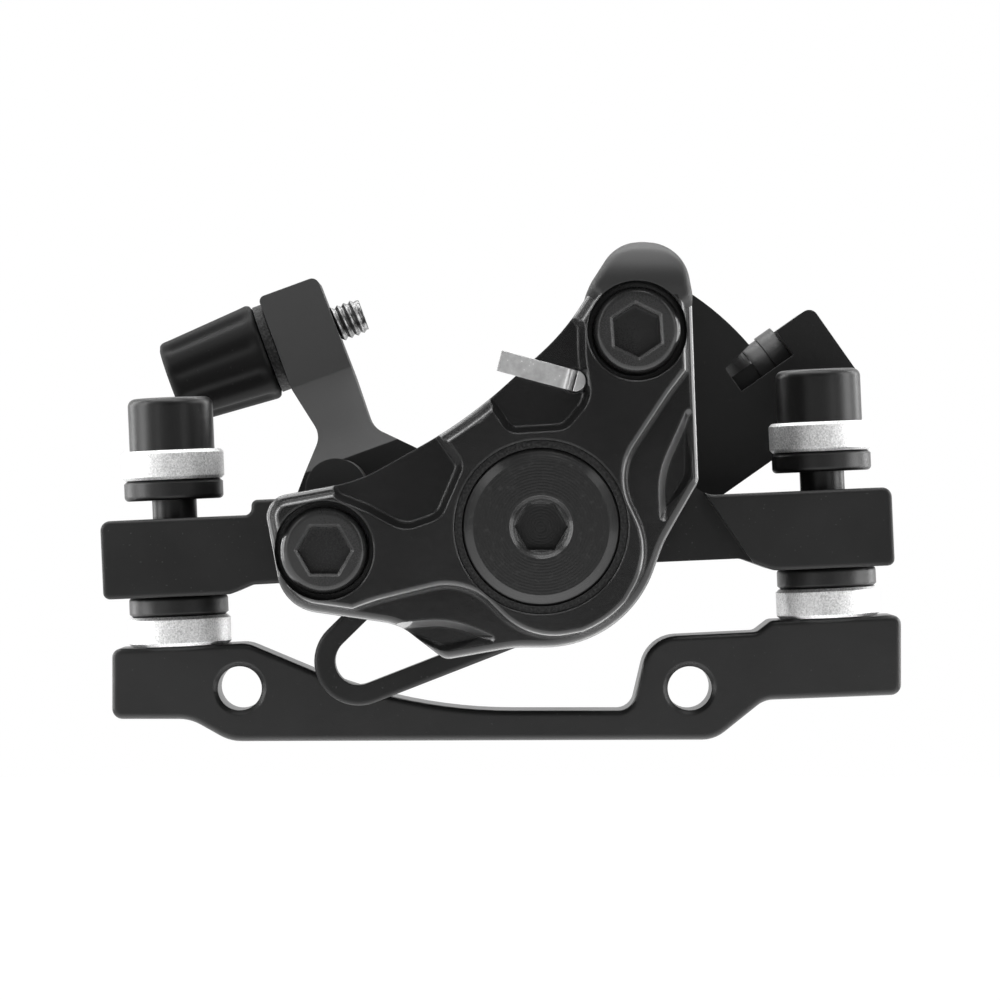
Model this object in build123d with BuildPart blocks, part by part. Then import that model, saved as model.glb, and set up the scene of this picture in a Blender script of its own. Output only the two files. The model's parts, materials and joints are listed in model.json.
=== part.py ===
from build123d import *
from math import acos, cos, pi, radians, sin, sqrt, tan
import os

# Mechanical disc brake caliper for a bicycle, on its frame bracket.
# Lengths are in millimetres. X is right and Z is up as seen from the wheel, and Y points away from
# the wheel. The origin is midway between the two frame bolt holes, on the bracket's seat face.
# A depth is measured from that seat face towards the wheel, along -Y.

os.makedirs("parts", exist_ok=True)

# Frame bracket
hole_spacing = 51.0
frame_tap_r = 2.5
frame_chamfer = 0.5
bracket_thickness = 9.0
lug_r = 6.0
bridge_height = 3.5
post_pitch = 74.0
post_tilt = 2.5
post_mid_x = 4.5
post_mid_z = 6.4
post_left = 7.5
post_right = 8.0
post_axis_depth = 4.5
bracket_edge_r = 0.6

# Post bolts and their washers, with heights above the post faces
bolt_thread_r = 3.0
thread_gap = 0.05
bolt_neck_r = 2.55
bolt_depth_in_post = 7.7
socket_head_r = 4.85
socket_head_height = 6.0
socket_head_round = 0.9
hex_across = 5.0
hex_depth = 3.2
hex_chamfer = 0.35
cup_washer_r = 5.85
cup_washer_height = 3.35
ball_washer_r = 5.65
ball_washer_rim = 1.95
ball_washer_round = 0.5
washer_stack = 5.66
seat_sphere_r = 8.0
seat_gap = 0.06
washer_bore_r = 3.2
washer_chamfer = 0.35
ear_gap = 2.1

# Caliper body
axis_x = 8.49
axis_z = 18.41
body_tilt = 35.1
half_pitch = 20.86
bolt_line = 11.51
parting_depth = 16.5
slot_width = 5.0
front_depth = 30.0
raised_height = 1.8
rear_depth = -3.0
wall_inset = 0.6
rim_round = 0.8
raised_root = 1.0
raised_inset = 0.5
raised_taper = 12
raised_round = 0.5
pocket_depth = 3.6
pocket_taper = 12
leaf_depth = 1.3
leaf_taper = 30
rotor_r = 80.0
rotor_offset = 71.5
rotor_clearance = 1.0
running_gap = 0.1
slide_gap = 0.3

# Mounting ears
ear_height = 8.84
ear_depth = 15.0
ear_left = 8.0
ear_right = 7.3
ear_slot_width = 6.4
ear_slot_length = 10.4
ear_edge_r = 0.5

# Body bolts
body_bolt_head_r = 4.8
counterbore_r = 5.45
counterbore_depth = 6.6
body_bolt_sink = 0.6
body_bolt_reach = 14.0
body_bolt_hole_r = 3.2
body_bolt_turns = (34.0, 0.0)

# Brake pads, piston and pad adjuster
pad_r = 10.0
pad_ear_r = 2.6
pad_ear_share = 0.585
pad_ear_height_share = 0.948
plate_thickness = 2.0
lining_thickness = 2.5
lining_r = 8.9
lining_low_cut = 7.0
outer_pad_gap = 1.5
inner_pad_gap = 1.4
piston_r = 8.6
piston_thickness = 3.0
adjuster_r = 8.6
adjuster_sink = 0.1
adjuster_bevel = 1.15
adjuster_bevel_height = 0.5
adjuster_socket_depth = 4.0
adjuster_entry_r = 3.46
adjuster_entry_depth = 0.7
piston_chamfer = 0.4
seal_width = 0.85
seal_height = 1.2
seal_sink = 0.25

# Cam that turns the arm's swing into the piston's travel
swing = 28.0
travel = 1.6
cam_disc_thickness = 3.5
cam_gap = 0.8
ball_r = 2.0
ball_circle_r = 5.8
ball_seat = 1.4
ball_count = 3
ball_gap = 0.05
groove_gap = 0.2
race_thickness = 3.0
race_gap = 0.05
shaft_r = 3.5
bush_wall = 1.1
bush_boss_wall = 1.2
bush_boss_height = 1.4
shaft_square = 4.8
square_gap = 0.05
shaft_seal_r = 0.75
shaft_seal_gap = 0.12
arm_bolt_thread_r = 1.7
arm_bolt_neck_r = 1.4
arm_bolt_hex = 4.0
arm_bolt_hex_depth = 2.0
arm_bolt_reach = 8.0
arm_bolt_head_r = 4.4
arm_bolt_head_height = 3.4
arm_washer_r = 5.6
arm_washer_height = 1.2
cam_wall_r = 12.6
cam_wall_round = 1.2
plate_rear_depth = 3.0

# Actuating arm
arm_front_depth = -8.0
arm_thickness = 3.0
arm_hub_r = 9.5
arm_reach = 35.8
arm_tip_thickness = 5.0
tip_reach = 5.2
quadrant_r = 32.4
quadrant_wall = 2.6
quadrant_start = 5.4
flange_start = 9.0
quadrant_end = 36.0
quadrant_margin = 1.8
cable_depth = -15.6
cable_groove_r = 0.9
pinch_line = -1.2
pinch_thread_r = 2.4
pinch_head_across = 8.0
pinch_head_height = 3.3
pinch_washer_r = 4.3
pinch_washer_height = 2.1
pinch_cup_r = 4.5
pinch_cup_height = 2.2
pinch_point = 0.5
tip_top = 2.6
tip_bottom = 6.6
tip_cut = 2.5
tip_round = 0.9
tip_corner_r = 1.1
notch_line = -0.85
notch_top = 2.4
notch_depth = 7.4
dome_r = 4.2
lug_height = 2.0
spring_post_r = 1.0

# Cable stop and barrel adjuster
barrel_tilt = 20.1
barrel_x = -23.6
barrel_z = 39.1
barrel_r = 5.9
barrel_small_r = 5.03
barrel_length = 11.9
barrel_round = 0.8
barrel_stud_r = 2.15
barrel_stud_length = 12.2
barrel_ring_r = 5.3
barrel_ring_height = 1.1
barrel_ring_gap = 0.1
barrel_flutes = 12
flute_r = 1.1
flute_sink = 0.4
housing_socket_r = 2.6
housing_socket_depth = 8.0
cable_hole_r = 1.1
stop_width = 7.3
stop_height = 5.9
stop_reach = 18.3
stop_wall = 3.05
stop_front_depth = 2.0

# Return spring, split pin and pad spring
wire_d = 1.2
spring_r = 7.2
spring_pitch = 1.7
spring_quarters = 7
spring_start_angle = 150.0
spring_seat_gap = 0.3
spring_leg = 4.5
spring_post_gap = 0.1
pin_r = 1.15
pin_split = 0.1
pin_hole_gap = 0.2
pin_bend_r = 1.4
pin_leg = 8.6
pin_eye_r = 2.2
pin_bend_turn = 165.0
pin_eye_wire_r = 0.6
pin_rise = 2.0
leaf_thickness = 0.4
leaf_width = 7.0
leaf_gap = 0.2
leaf_top_share = 0.94
leaf_foot_share = 0.81

# Closed ring on the lower edge of the outer half: a round end and two straight sides
loop_depth = 3.3
loop_clearance = 1.7
loop_hole_r = 2.66
loop_width = 2.33
loop_upper_angle = 9.4
loop_lower_angle = -13.8
loop_upper_reach = 8.5
loop_lower_reach = 21.0
loop_hole_share = 0.67

# One overrun serves every cut
overrun = 1.0

# Places that follow from the sizes above
rim_depth = front_depth - raised_height
slot_rear = parting_depth - slot_width / 2
tilt_x = cos(radians(body_tilt))
tilt_z = sin(radians(body_tilt))
body_bolt_places = [(half_pitch, bolt_line), (-half_pitch, bolt_line)]
pad_ear = (half_pitch * pad_ear_share, bolt_line * pad_ear_height_share)
outer_lining_face = parting_depth - outer_pad_gap
outer_plate_face = outer_lining_face - lining_thickness
piston_face = outer_plate_face - plate_thickness
cam_front = piston_face - piston_thickness
cam_rear = cam_front - cam_disc_thickness
race_front = cam_rear - cam_gap
race_rear = race_front - race_thickness
inner_lining_face = parting_depth + inner_pad_gap
inner_plate_face = inner_lining_face + lining_thickness
adjuster_rear = inner_plate_face + plate_thickness
adjuster_front = front_depth - adjuster_sink
bore_r = piston_r + running_gap
seal_bore_r = adjuster_r + seal_width + thread_gap
ball_depth = race_front - ball_seat + ball_r
ear_bottom = washer_stack
ear_top = washer_stack + ear_height
upper_stack = ear_top + ear_gap
head_seat = upper_stack + washer_stack
arm_rear_depth = arm_front_depth - arm_thickness
arm_tip = arm_reach + arm_tip_thickness
half_post = post_pitch / 2
ear_rear = post_axis_depth - ear_depth / 2
ear_front = post_axis_depth + ear_depth / 2
bush_r = shaft_r + thread_gap + bush_wall
bush_boss_r = bush_r + bush_boss_wall
quadrant_rear = cable_depth - quadrant_margin


def facing(depth):
    """The wheel-side view plane at a depth, with X to the right and Z up."""
    return Plane.XZ.offset(depth)


def body_plane(depth):
    """The body's own plane at a depth: first axis along the body bolts' line, from the cam's axis."""
    return Plane(
        origin=(axis_x, -depth, axis_z),
        x_dir=(tilt_x, 0, tilt_z),
        z_dir=(0, -1, 0),
    )


def body_point(along, up, depth):
    """A point of the body's own frame in the part's frame."""
    return body_plane(depth).from_local_coords((along, up, 0))


def post_plane(depth):
    """The plane of the post faces' line: first axis along that line, second along the bolts."""
    lean = radians(post_tilt)
    return Plane(
        origin=(post_mid_x, -depth, post_mid_z),
        x_dir=(cos(lean), 0, sin(lean)),
        z_dir=(0, -1, 0),
    )


def post_point(along, up):
    """A point of the post line's frame, as X and Z."""
    point = post_plane(0).from_local_coords((along, up, 0))
    return point.X, point.Z


def bolt_plane(side, height):
    """A plane square to a post bolt, at a height above the post face. Side is -1 or 1."""
    line = post_plane(post_axis_depth)
    return Plane(
        origin=line.from_local_coords((side * post_pitch / 2, height, 0)),
        x_dir=line.x_dir,
        z_dir=line.y_dir,
    )


def spread(shares):
    """Corner points of an outline given as shares of half the bolt pitch and of the bolt line."""
    return [(half_pitch * along, bolt_line * up) for along, up, _ in shares]


def corner_radii(shares):
    """Corner radii of an outline given as shares of half the bolt pitch."""
    return [half_pitch * radius for _, _, radius in shares]


# Frame bracket: two tapped lugs, a low bridge between them and a raised post at each end
left_post, left_face = post_point(-post_pitch / 2, 0)
right_post, right_face = post_point(post_pitch / 2, 0)
left_hole = -hole_spacing / 2
right_hole = hole_spacing / 2
bridge_top = bridge_height - lug_r
post_foot = lug_r * 0.58
left_lug_end = left_hole + lug_r * 0.15
post_lean = tan(radians(post_tilt))
bracket_corners = [
    (left_post - post_left, left_face - post_left * post_lean, lug_r * 0.17),
    (left_lug_end, left_face + (left_lug_end - left_post) * post_lean, lug_r * 0.57),
    (left_hole + lug_r * 3.2, bridge_top, lug_r * 9.7),
    (right_hole - lug_r * 1.1, bridge_top, lug_r * 0.32),
    (right_hole - lug_r * 0.77, lug_r * 0.97, lug_r * 0.7),
    (right_post - post_right * 1.05, lug_r * 1.07, lug_r * 0.2),
    (right_post - post_right * 0.844, right_face - post_right * 0.04, lug_r * 0.17),
    (right_post + post_right, right_face + post_right * post_lean, lug_r * 0.18),
    (right_post + post_right, -lug_r * 0.12, lug_r * 0.2),
    (right_post - post_right * 0.94, -lug_r * 0.22, lug_r * 0.5),
    (right_hole + lug_r * 0.47, -lug_r * 0.97, lug_r * 0.67),
    (left_hole - lug_r * 0.18, -lug_r, lug_r * 0.83),
    (left_hole - lug_r * 0.93, -post_foot, lug_r * 0.83),
    (left_post - post_left, -post_foot, lug_r * 0.2),
]

with BuildPart() as mount_bracket:
    with BuildSketch(facing(0)):
        with BuildLine():
            FilletPolyline(
                *[(x, z) for x, z, _ in bracket_corners],
                radius=[r for _, _, r in bracket_corners],
                close=True,
            )
        make_face()
    extrude(amount=bracket_thickness)
    front_edges = mount_bracket.faces().sort_by(Axis.Y)[0].outer_wire().edges()
    fillet(front_edges, radius=bracket_edge_r)
    with BuildSketch(facing(-overrun)):
        with Locations((left_hole, 0), (right_hole, 0)):
            Circle(frame_tap_r)
    extrude(amount=bracket_thickness + 2 * overrun, mode=Mode.SUBTRACT)
    rims = mount_bracket.edges().filter_by(GeomType.CIRCLE)
    rims = rims.filter_by(lambda edge: abs(edge.radius - frame_tap_r) < thread_gap)
    chamfer(rims, length=frame_chamfer)
    for side in (-1, 1):
        with BuildSketch(bolt_plane(side, overrun)):
            Circle(bolt_thread_r + thread_gap)
        extrude(amount=-(bolt_depth_in_post + 2 * overrun + bridge_height), mode=Mode.SUBTRACT)
mount_bracket.part.label = "mount_bracket"
export_step(mount_bracket.part, "parts/mount_bracket.step")


def socket_screw(head_r, head_height, thread_r, reach, neck_r, neck_length, across, deep):
    """A socket head screw standing on its head's seat at height zero, thread downwards."""
    with BuildPart() as screw:
        with BuildSketch(Plane.XZ):
            with BuildLine():
                Polyline(
                    (0, -reach),
                    (neck_r, -reach),
                    (thread_r, -reach + (thread_r - neck_r)),
                    (thread_r, -neck_length),
                    (neck_r, -neck_length),
                    (neck_r, 0),
                    (head_r, 0),
                    (head_r, head_height),
                    (0, head_height),
                    close=True,
                )
            make_face()
        revolve(axis=Axis.Z)
        top = screw.faces().sort_by(Axis.Z)[-1]
        fillet(top.edges(), radius=head_height * socket_head_round / socket_head_height)
        with BuildSketch(Plane.XY.offset(head_height)):
            RegularPolygon(radius=across / 2, side_count=6, major_radius=False)
        extrude(amount=-deep, mode=Mode.SUBTRACT)
        rim = screw.faces().sort_by(Axis.Z)[-1].inner_wires()[0].edges()
        chamfer(rim, length=hex_chamfer)
    return screw.part


# Post bolts: one through each ear, screwed down into the post
post_bolt_neck = head_seat - ear_bottom
with BuildPart() as post_bolts:
    with Locations(bolt_plane(-1, head_seat), bolt_plane(1, head_seat)):
        add(
            socket_screw(
                socket_head_r,
                socket_head_height,
                bolt_thread_r,
                head_seat + bolt_depth_in_post,
                bolt_neck_r,
                post_bolt_neck,
                hex_across,
                hex_depth,
            )
        )
post_bolts.part.label = "post_bolts"
export_step(post_bolts.part, "parts/post_bolts.step")

# Spherical seat shared by each cup washer and ball washer
seat_centre = washer_stack - ball_washer_rim + sqrt(seat_sphere_r**2 - ball_washer_r**2)


def on_seat(radius, sphere_r):
    """A point of the spherical seat at a distance from the bolt's axis."""
    return radius, seat_centre - sqrt(sphere_r**2 - radius**2)


cup_sphere_r = seat_sphere_r + seat_gap
cup_mouth_r = sqrt(cup_sphere_r**2 - (seat_centre - cup_washer_height) ** 2)
with BuildPart() as cup_blank:
    with BuildSketch(Plane.XZ):
        with BuildLine():
            Polyline(
                on_seat(washer_bore_r, cup_sphere_r),
                (washer_bore_r, 0),
                (cup_washer_r, 0),
                (cup_washer_r, cup_washer_height),
                (cup_mouth_r, cup_washer_height),
            )
            ThreePointArc(
                (cup_mouth_r, cup_washer_height),
                on_seat((cup_mouth_r + washer_bore_r) / 2, cup_sphere_r),
                on_seat(washer_bore_r, cup_sphere_r),
            )
        make_face()
    revolve(axis=Axis.Z)
    outer = cup_blank.edges().filter_by(GeomType.CIRCLE)
    outer = outer.filter_by(lambda edge: edge.radius > cup_washer_r - seat_gap)
    chamfer(outer, length=washer_chamfer)

with BuildPart() as ball_blank:
    with BuildSketch(Plane.XZ):
        with BuildLine():
            Polyline(
                on_seat(ball_washer_r, seat_sphere_r),
                (ball_washer_r, washer_stack),
                (washer_bore_r, washer_stack),
                on_seat(washer_bore_r, seat_sphere_r),
            )
            ThreePointArc(
                on_seat(washer_bore_r, seat_sphere_r),
                on_seat((ball_washer_r + washer_bore_r) / 2, seat_sphere_r),
                on_seat(ball_washer_r, seat_sphere_r),
            )
        make_face()
    revolve(axis=Axis.Z)
    fillet(ball_blank.faces().sort_by(Axis.Z)[-1].outer_wire().edges(), radius=ball_washer_round)


def hanging_plane(side):
    """A plane under a post bolt's head that faces down the bolt."""
    seat = bolt_plane(side, head_seat)
    return Plane(origin=seat.origin, x_dir=seat.x_dir, z_dir=-seat.z_dir)


washer_places = [bolt_plane(-1, 0), bolt_plane(1, 0), hanging_plane(-1), hanging_plane(1)]
with BuildPart() as cup_washers:
    with Locations(*washer_places):
        add(cup_blank.part)
cup_washers.part.label = "cup_washers"
export_step(cup_washers.part, "parts/cup_washers.step")

with BuildPart() as ball_washers:
    with Locations(*washer_places):
        add(ball_blank.part)
ball_washers.part.label = "ball_washers"
export_step(ball_washers.part, "parts/ball_washers.step")

# Outline of both body halves, as shares of half the bolt pitch and of the bolt line, each corner
# with its radius as a share of half the bolt pitch
body_outline_shares = [
    (0.0, 1.235, 2.4),
    (0.68, 1.39, 1.2),
    (1.11, 1.70, 0.26),
    (1.36, 1.34, 0.2),
    (1.345, 0.98, 0.24),
    (0.812, -0.51, 0.08),
    (0.48, -0.79, 0.55),
    (0.0, -1.40, 0.61),
    (-0.48, -0.79, 0.55),
    (-0.812, -0.51, 0.08),
    (-0.905, 0.02, 0.3),
    (-1.35, 0.78, 0.24),
    (-1.11, 1.74, 0.12),
    (-0.65, 1.36, 0.8),
]

# The raised face stops short of the lower side along an arc round the pad adjuster
raised_face_shares = [
    (0.0, 2.0, 0.0),
    (1.8, 2.0, 0.0),
    (1.5, 0.62, 0.0),
    (0.95, 0.30, 0.9),
    (0.50, -0.02, 0.3),
    (0.42, -0.85, 0.42),
    (0.0, -1.20, 0.36),
    (-0.42, -0.85, 0.42),
    (-0.50, -0.02, 0.3),
    (-0.95, 0.30, 0.9),
    (-1.5, 0.55, 0.0),
    (-1.8, 2.0, 0.0),
]

# One half of the pocket pair in the raised face, open to the upper edge
pocket_shares = [
    (0.14, 1.9, 0.0),
    (0.14, 0.90, 0.09),
    (0.40, 0.61, 0.12),
    (0.60, 0.71, 0.16),
    (0.70, 1.07, 0.3),
    (0.80, 1.34, 0.1),
    (0.80, 1.9, 0.0),
]

# Leaf-shaped hollow beside the raised face, for one side
leaf_shares = [
    (1.05, 0.20, 0.02),
    (0.80, -0.43, 0.12),
    (0.50, -0.68, 0.02),
    (0.66, -0.22, 0.5),
]


def outline(shares):
    """A closed outline with rounded corners, as a sketch in the body's own frame."""
    with BuildSketch() as face:
        with BuildLine():
            FilletPolyline(*spread(shares), radius=corner_radii(shares), close=True)
        make_face()
    return face.sketch


def mirrored(shares):
    """The same outline on the other side of the body's middle line."""
    return [(-along, up, radius) for along, up, radius in shares]


def pad_outline(grow):
    """The pad's outline, larger all round by a gap: a round pad with an ear for the split pin."""
    with BuildSketch() as face:
        Circle(pad_r + grow)
        with Locations(pad_ear):
            Circle(pad_ear_r + grow)
        with BuildLine():
            Polyline(
                (0, 0),
                (pad_ear[0] + pad_ear_r + grow, pad_ear[1] / 3),
                (pad_ear[0] + pad_ear_r + grow, pad_ear[1]),
                (pad_ear[0], pad_ear[1] + pad_ear_r + grow),
                (0, pad_r + grow),
                close=True,
            )
        make_face()
    return face.sketch


body_face = outline(body_outline_shares)
raised_face = outline(raised_face_shares)
pocket_faces = [outline(pocket_shares), outline(mirrored(pocket_shares))]
leaf_faces = [outline(leaf_shares), outline(mirrored(leaf_shares))]
pad_face = pad_outline(0)
pad_room_face = pad_outline(slide_gap)

# Room for the rotor: a disc larger than the rotor by its clearance
with BuildPart() as rotor_room:
    with BuildSketch(body_plane(slot_rear)):
        with Locations((0, -rotor_offset)):
            Circle(rotor_r + rotor_clearance)
    extrude(amount=slot_width)

# Room for both pads between the halves, open to the upper edge so that they drop in
window_left = -pad_r - slide_gap
window_right = pad_ear[0] + pad_ear_r + slide_gap
with BuildPart() as pad_room:
    with BuildSketch(body_plane(piston_face - slide_gap)):
        add(pad_room_face)
        with BuildLine():
            Polyline(
                (window_left, 0),
                (window_right, pad_ear[1] / 3),
                (window_right, 2 * bolt_line),
                (window_left, 2 * bolt_line),
                close=True,
            )
        make_face()
    extrude(amount=adjuster_rear - piston_face + 2 * slide_gap)

# Inner half of the body, on the wheel's side
with BuildPart() as inner_housing:
    with BuildSketch(body_plane(parting_depth)):
        add(body_face)
    extrude(amount=rim_depth - parting_depth)
    rim_face = inner_housing.faces().sort_by(Axis.Y)[0]
    fillet(rim_face.outer_wire().edges(), radius=rim_round)
    with BuildSketch(body_plane(rim_depth - raised_root)):
        add(body_face)
        offset(amount=-raised_inset)
        add(raised_face, mode=Mode.INTERSECT)
    extrude(amount=front_depth - rim_depth + raised_root, taper=raised_taper)
    raised_edges = inner_housing.faces().sort_by(Axis.Y)[0].outer_wire().edges()
    fillet(raised_edges, radius=raised_round)
    dome_z = inner_housing.part.bounding_box().max.Z - dome_r
    with BuildSketch(
        Plane(origin=(axis_x, dome_r - front_depth, dome_z), x_dir=(0, -1, 0), z_dir=(-1, 0, 0))
    ):
        Rectangle(2 * dome_r, 2 * dome_r, align=(Align.MIN, Align.MIN))
        Circle(dome_r, mode=Mode.SUBTRACT)
    extrude(amount=2 * half_pitch, both=True, mode=Mode.SUBTRACT)
    for face in pocket_faces:
        with BuildSketch(body_plane(front_depth)):
            add(face)
        extrude(amount=-pocket_depth, taper=pocket_taper, mode=Mode.SUBTRACT)
    for face in leaf_faces:
        with BuildSketch(body_plane(rim_depth)):
            add(face)
        extrude(amount=-leaf_depth, taper=leaf_taper, mode=Mode.SUBTRACT)
    with BuildSketch(body_plane(parting_depth - overrun)):
        with Locations(*body_bolt_places):
            Circle(body_bolt_hole_r)
        with Locations(pad_ear):
            Circle(pin_r + pin_hole_gap)
        Circle(adjuster_r + running_gap)
    extrude(amount=front_depth, mode=Mode.SUBTRACT)
    with BuildSketch(body_plane(front_depth + overrun)):
        with Locations(*body_bolt_places):
            Circle(counterbore_r)
    extrude(amount=-(counterbore_depth + overrun), mode=Mode.SUBTRACT)
    with BuildSketch(body_plane(front_depth + overrun)):
        Circle(seal_bore_r)
    extrude(amount=-(seal_height + overrun), mode=Mode.SUBTRACT)
    add(rotor_room.part, mode=Mode.SUBTRACT)
    add(pad_room.part, mode=Mode.SUBTRACT)
inner_housing.part.label = "inner_housing"
export_step(inner_housing.part, "parts/inner_housing.step")


# Mounting ears of the outer half, each a tapered block that runs into the body
ear_root = ear_bottom + ear_height * 0.17
right_ear_corners = [
    (half_post * 0.25, ear_root, 0.0),
    (half_post * 0.73, ear_root, ear_height * 0.226),
    (half_post - cup_washer_r - ear_edge_r, ear_bottom, ear_height * 0.226),
    (half_post + ear_right, ear_bottom, ear_height * 0.09),
    (half_post + ear_right, ear_top, ear_height * 0.124),
    (half_post * 0.585, ear_top, ear_height * 0.362),
    (half_post * 0.572, ear_top + ear_height * 0.55, 0.0),
    (half_post * 0.25, ear_top + ear_height * 0.55, 0.0),
]
left_ear_corners = [
    (-half_post * 0.5, ear_root - ear_height * 0.05, 0.0),
    (-half_post * 0.76, ear_root - ear_height * 0.06, ear_height * 0.226),
    (-half_post + cup_washer_r + ear_edge_r, ear_bottom, ear_height * 0.226),
    (-half_post - ear_left, ear_bottom, ear_height * 0.09),
    (-half_post - ear_left, ear_top, ear_height * 0.124),
    (-half_post * 0.755, ear_top, ear_height * 0.09),
    (-half_post * 0.752, ear_top + ear_height * 0.19, ear_height * 0.079),
    (-half_post * 0.5, ear_top + ear_height * 0.19, 0.0),
]


def ear_outline(corners):
    """An ear's outline in the post line's frame."""
    with BuildSketch() as face:
        with BuildLine():
            points = [(along, up) for along, up, _ in corners]
            FilletPolyline(*points, radius=[r for _, _, r in corners], close=True)
        make_face()
    return face.sketch


with BuildPart() as ear_pair:
    for corners, side in ((right_ear_corners, 1), (left_ear_corners, -1)):
        with BuildSketch(post_plane(ear_rear)):
            add(ear_outline(corners))
        extrude(amount=ear_depth)
    fillet(ear_pair.faces().filter_by(Axis.Y).edges(), radius=ear_edge_r)
    for side in (-1, 1):
        with BuildSketch(bolt_plane(side, 0)):
            SlotOverall(ear_slot_length, ear_slot_width, rotation=90)
        extrude(amount=ear_top + overrun, mode=Mode.SUBTRACT)

# Closed ring for tying the cable, in front of the bracket
loop_place = (-half_pitch * 1.217, -bolt_line * 0.061)
loop_front = bracket_thickness + loop_clearance + loop_depth


def loop_side(radius, angle, reach, hand):
    """The two ends of a straight side of the tie loop, from its round end into the body."""
    turn = radians(angle)
    foot = (
        loop_place[0] - hand * radius * sin(turn),
        loop_place[1] + hand * radius * cos(turn),
    )
    return [foot, (foot[0] + reach * cos(turn), foot[1] + reach * sin(turn))]


def loop_outline(radius, share):
    """The tie loop's outline at a radius round its centre, with a share of its sides' reach."""
    upper = loop_side(radius, loop_upper_angle, loop_upper_reach * share, 1)
    lower = loop_side(radius, loop_lower_angle, loop_lower_reach * share, -1)
    with BuildSketch() as face:
        with Locations(loop_place):
            Circle(radius)
        with BuildLine():
            Polyline(loop_place, *upper, lower[1], lower[0], close=True)
        make_face()
    return face.sketch


with BuildPart() as tie_loop:
    with BuildSketch(body_plane(loop_front - loop_depth)):
        add(loop_outline(loop_hole_r + loop_width, 1))
        add(loop_outline(loop_hole_r, loop_hole_share), mode=Mode.SUBTRACT)
    extrude(amount=loop_depth)
    fillet(tie_loop.faces().sort_by(Axis.Y)[0].outer_wire().edges(), radius=loop_depth / 6)

# Cable stop: an arm that leans back from the body's upper edge to the cable's plane
barrel_c = cos(radians(barrel_tilt))
barrel_s = sin(radians(barrel_tilt))


def barrel_plane(along):
    """A plane square to the barrel's axis, facing the stop arm, at a distance along the axis."""
    return Plane(
        origin=(barrel_x + along * barrel_c, -cable_depth, barrel_z + along * barrel_s),
        x_dir=(-barrel_s, 0, barrel_c),
        z_dir=(barrel_c, 0, barrel_s),
    )


stop_left = barrel_ring_height + 2 * barrel_ring_gap
stop_outline = [
    (stop_left, stop_height, stop_width * 0.096),
    (stop_left + stop_width, stop_height, stop_width * 0.123),
    (stop_left + stop_width * 1.04, -stop_reach * 0.72, stop_width * 0.41),
    (stop_left + stop_width * 1.9, -stop_reach * 1.07, 0.0),
    (stop_left + stop_width * 0.64, -stop_reach * 1.31, 0.0),
    (stop_left - stop_width * 0.52, -stop_reach, 0.0),
    (stop_left + stop_width * 0.22, -stop_reach * 0.655, stop_width * 0.34),
    (stop_left, -stop_reach * 0.30, stop_width * 0.55),
]
stop_front = cable_depth + barrel_stud_r + stop_wall
stop_rear = cable_depth - barrel_stud_r - stop_wall
stop_side = [
    (-1.4 * stop_reach, stop_front_depth),
    (-0.85 * stop_reach, stop_front_depth),
    (-0.3 * stop_reach, stop_front),
    (stop_reach, stop_front),
    (stop_reach, stop_rear),
    (-0.36 * stop_reach, stop_rear),
    (-0.88 * stop_reach, rear_depth),
    (-1.4 * stop_reach, rear_depth),
]
with BuildPart() as stop_arm:
    stop_face = Plane(
        origin=(barrel_x, -stop_rear, barrel_z),
        x_dir=(barrel_c, 0, barrel_s),
        z_dir=(0, -1, 0),
    )
    with BuildSketch(stop_face):
        with BuildLine():
            FilletPolyline(
                *[(along, up) for along, up, _ in stop_outline],
                radius=[r for _, _, r in stop_outline],
                close=True,
            )
        make_face()
    extrude(amount=stop_front_depth - stop_rear)
    stop_profile = Plane(
        origin=(barrel_x, 0, barrel_z),
        x_dir=(-barrel_s, 0, barrel_c),
        z_dir=(barrel_c, 0, barrel_s),
    )
    with BuildSketch(stop_profile):
        with BuildLine():
            Polyline(*stop_side, close=True)
        make_face()
    extrude(amount=4 * stop_width, both=True, mode=Mode.INTERSECT)
    with BuildSketch(barrel_plane(0)):
        Circle(barrel_stud_r + thread_gap)
    extrude(amount=2 * stop_width, mode=Mode.SUBTRACT)

# Places of the return spring, in the body's own frame
quarter_turn = 90
spring_front = rear_depth - spring_seat_gap - wire_d / 2
spring_end_angle = spring_start_angle + quarter_turn * spring_quarters
post_reach = wire_d / 2 + spring_post_r + spring_post_gap


def spring_post(angle, hand):
    """Where the post stands that a leg of the spring bears on."""
    turn = radians(angle)
    radial = (cos(turn), sin(turn))
    along = (-hand * sin(turn), hand * cos(turn))
    reach = spring_r + post_reach
    half_leg = spring_leg / 2
    return (
        radial[0] * reach + along[0] * half_leg,
        radial[1] * reach + along[1] * half_leg,
    )


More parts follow.
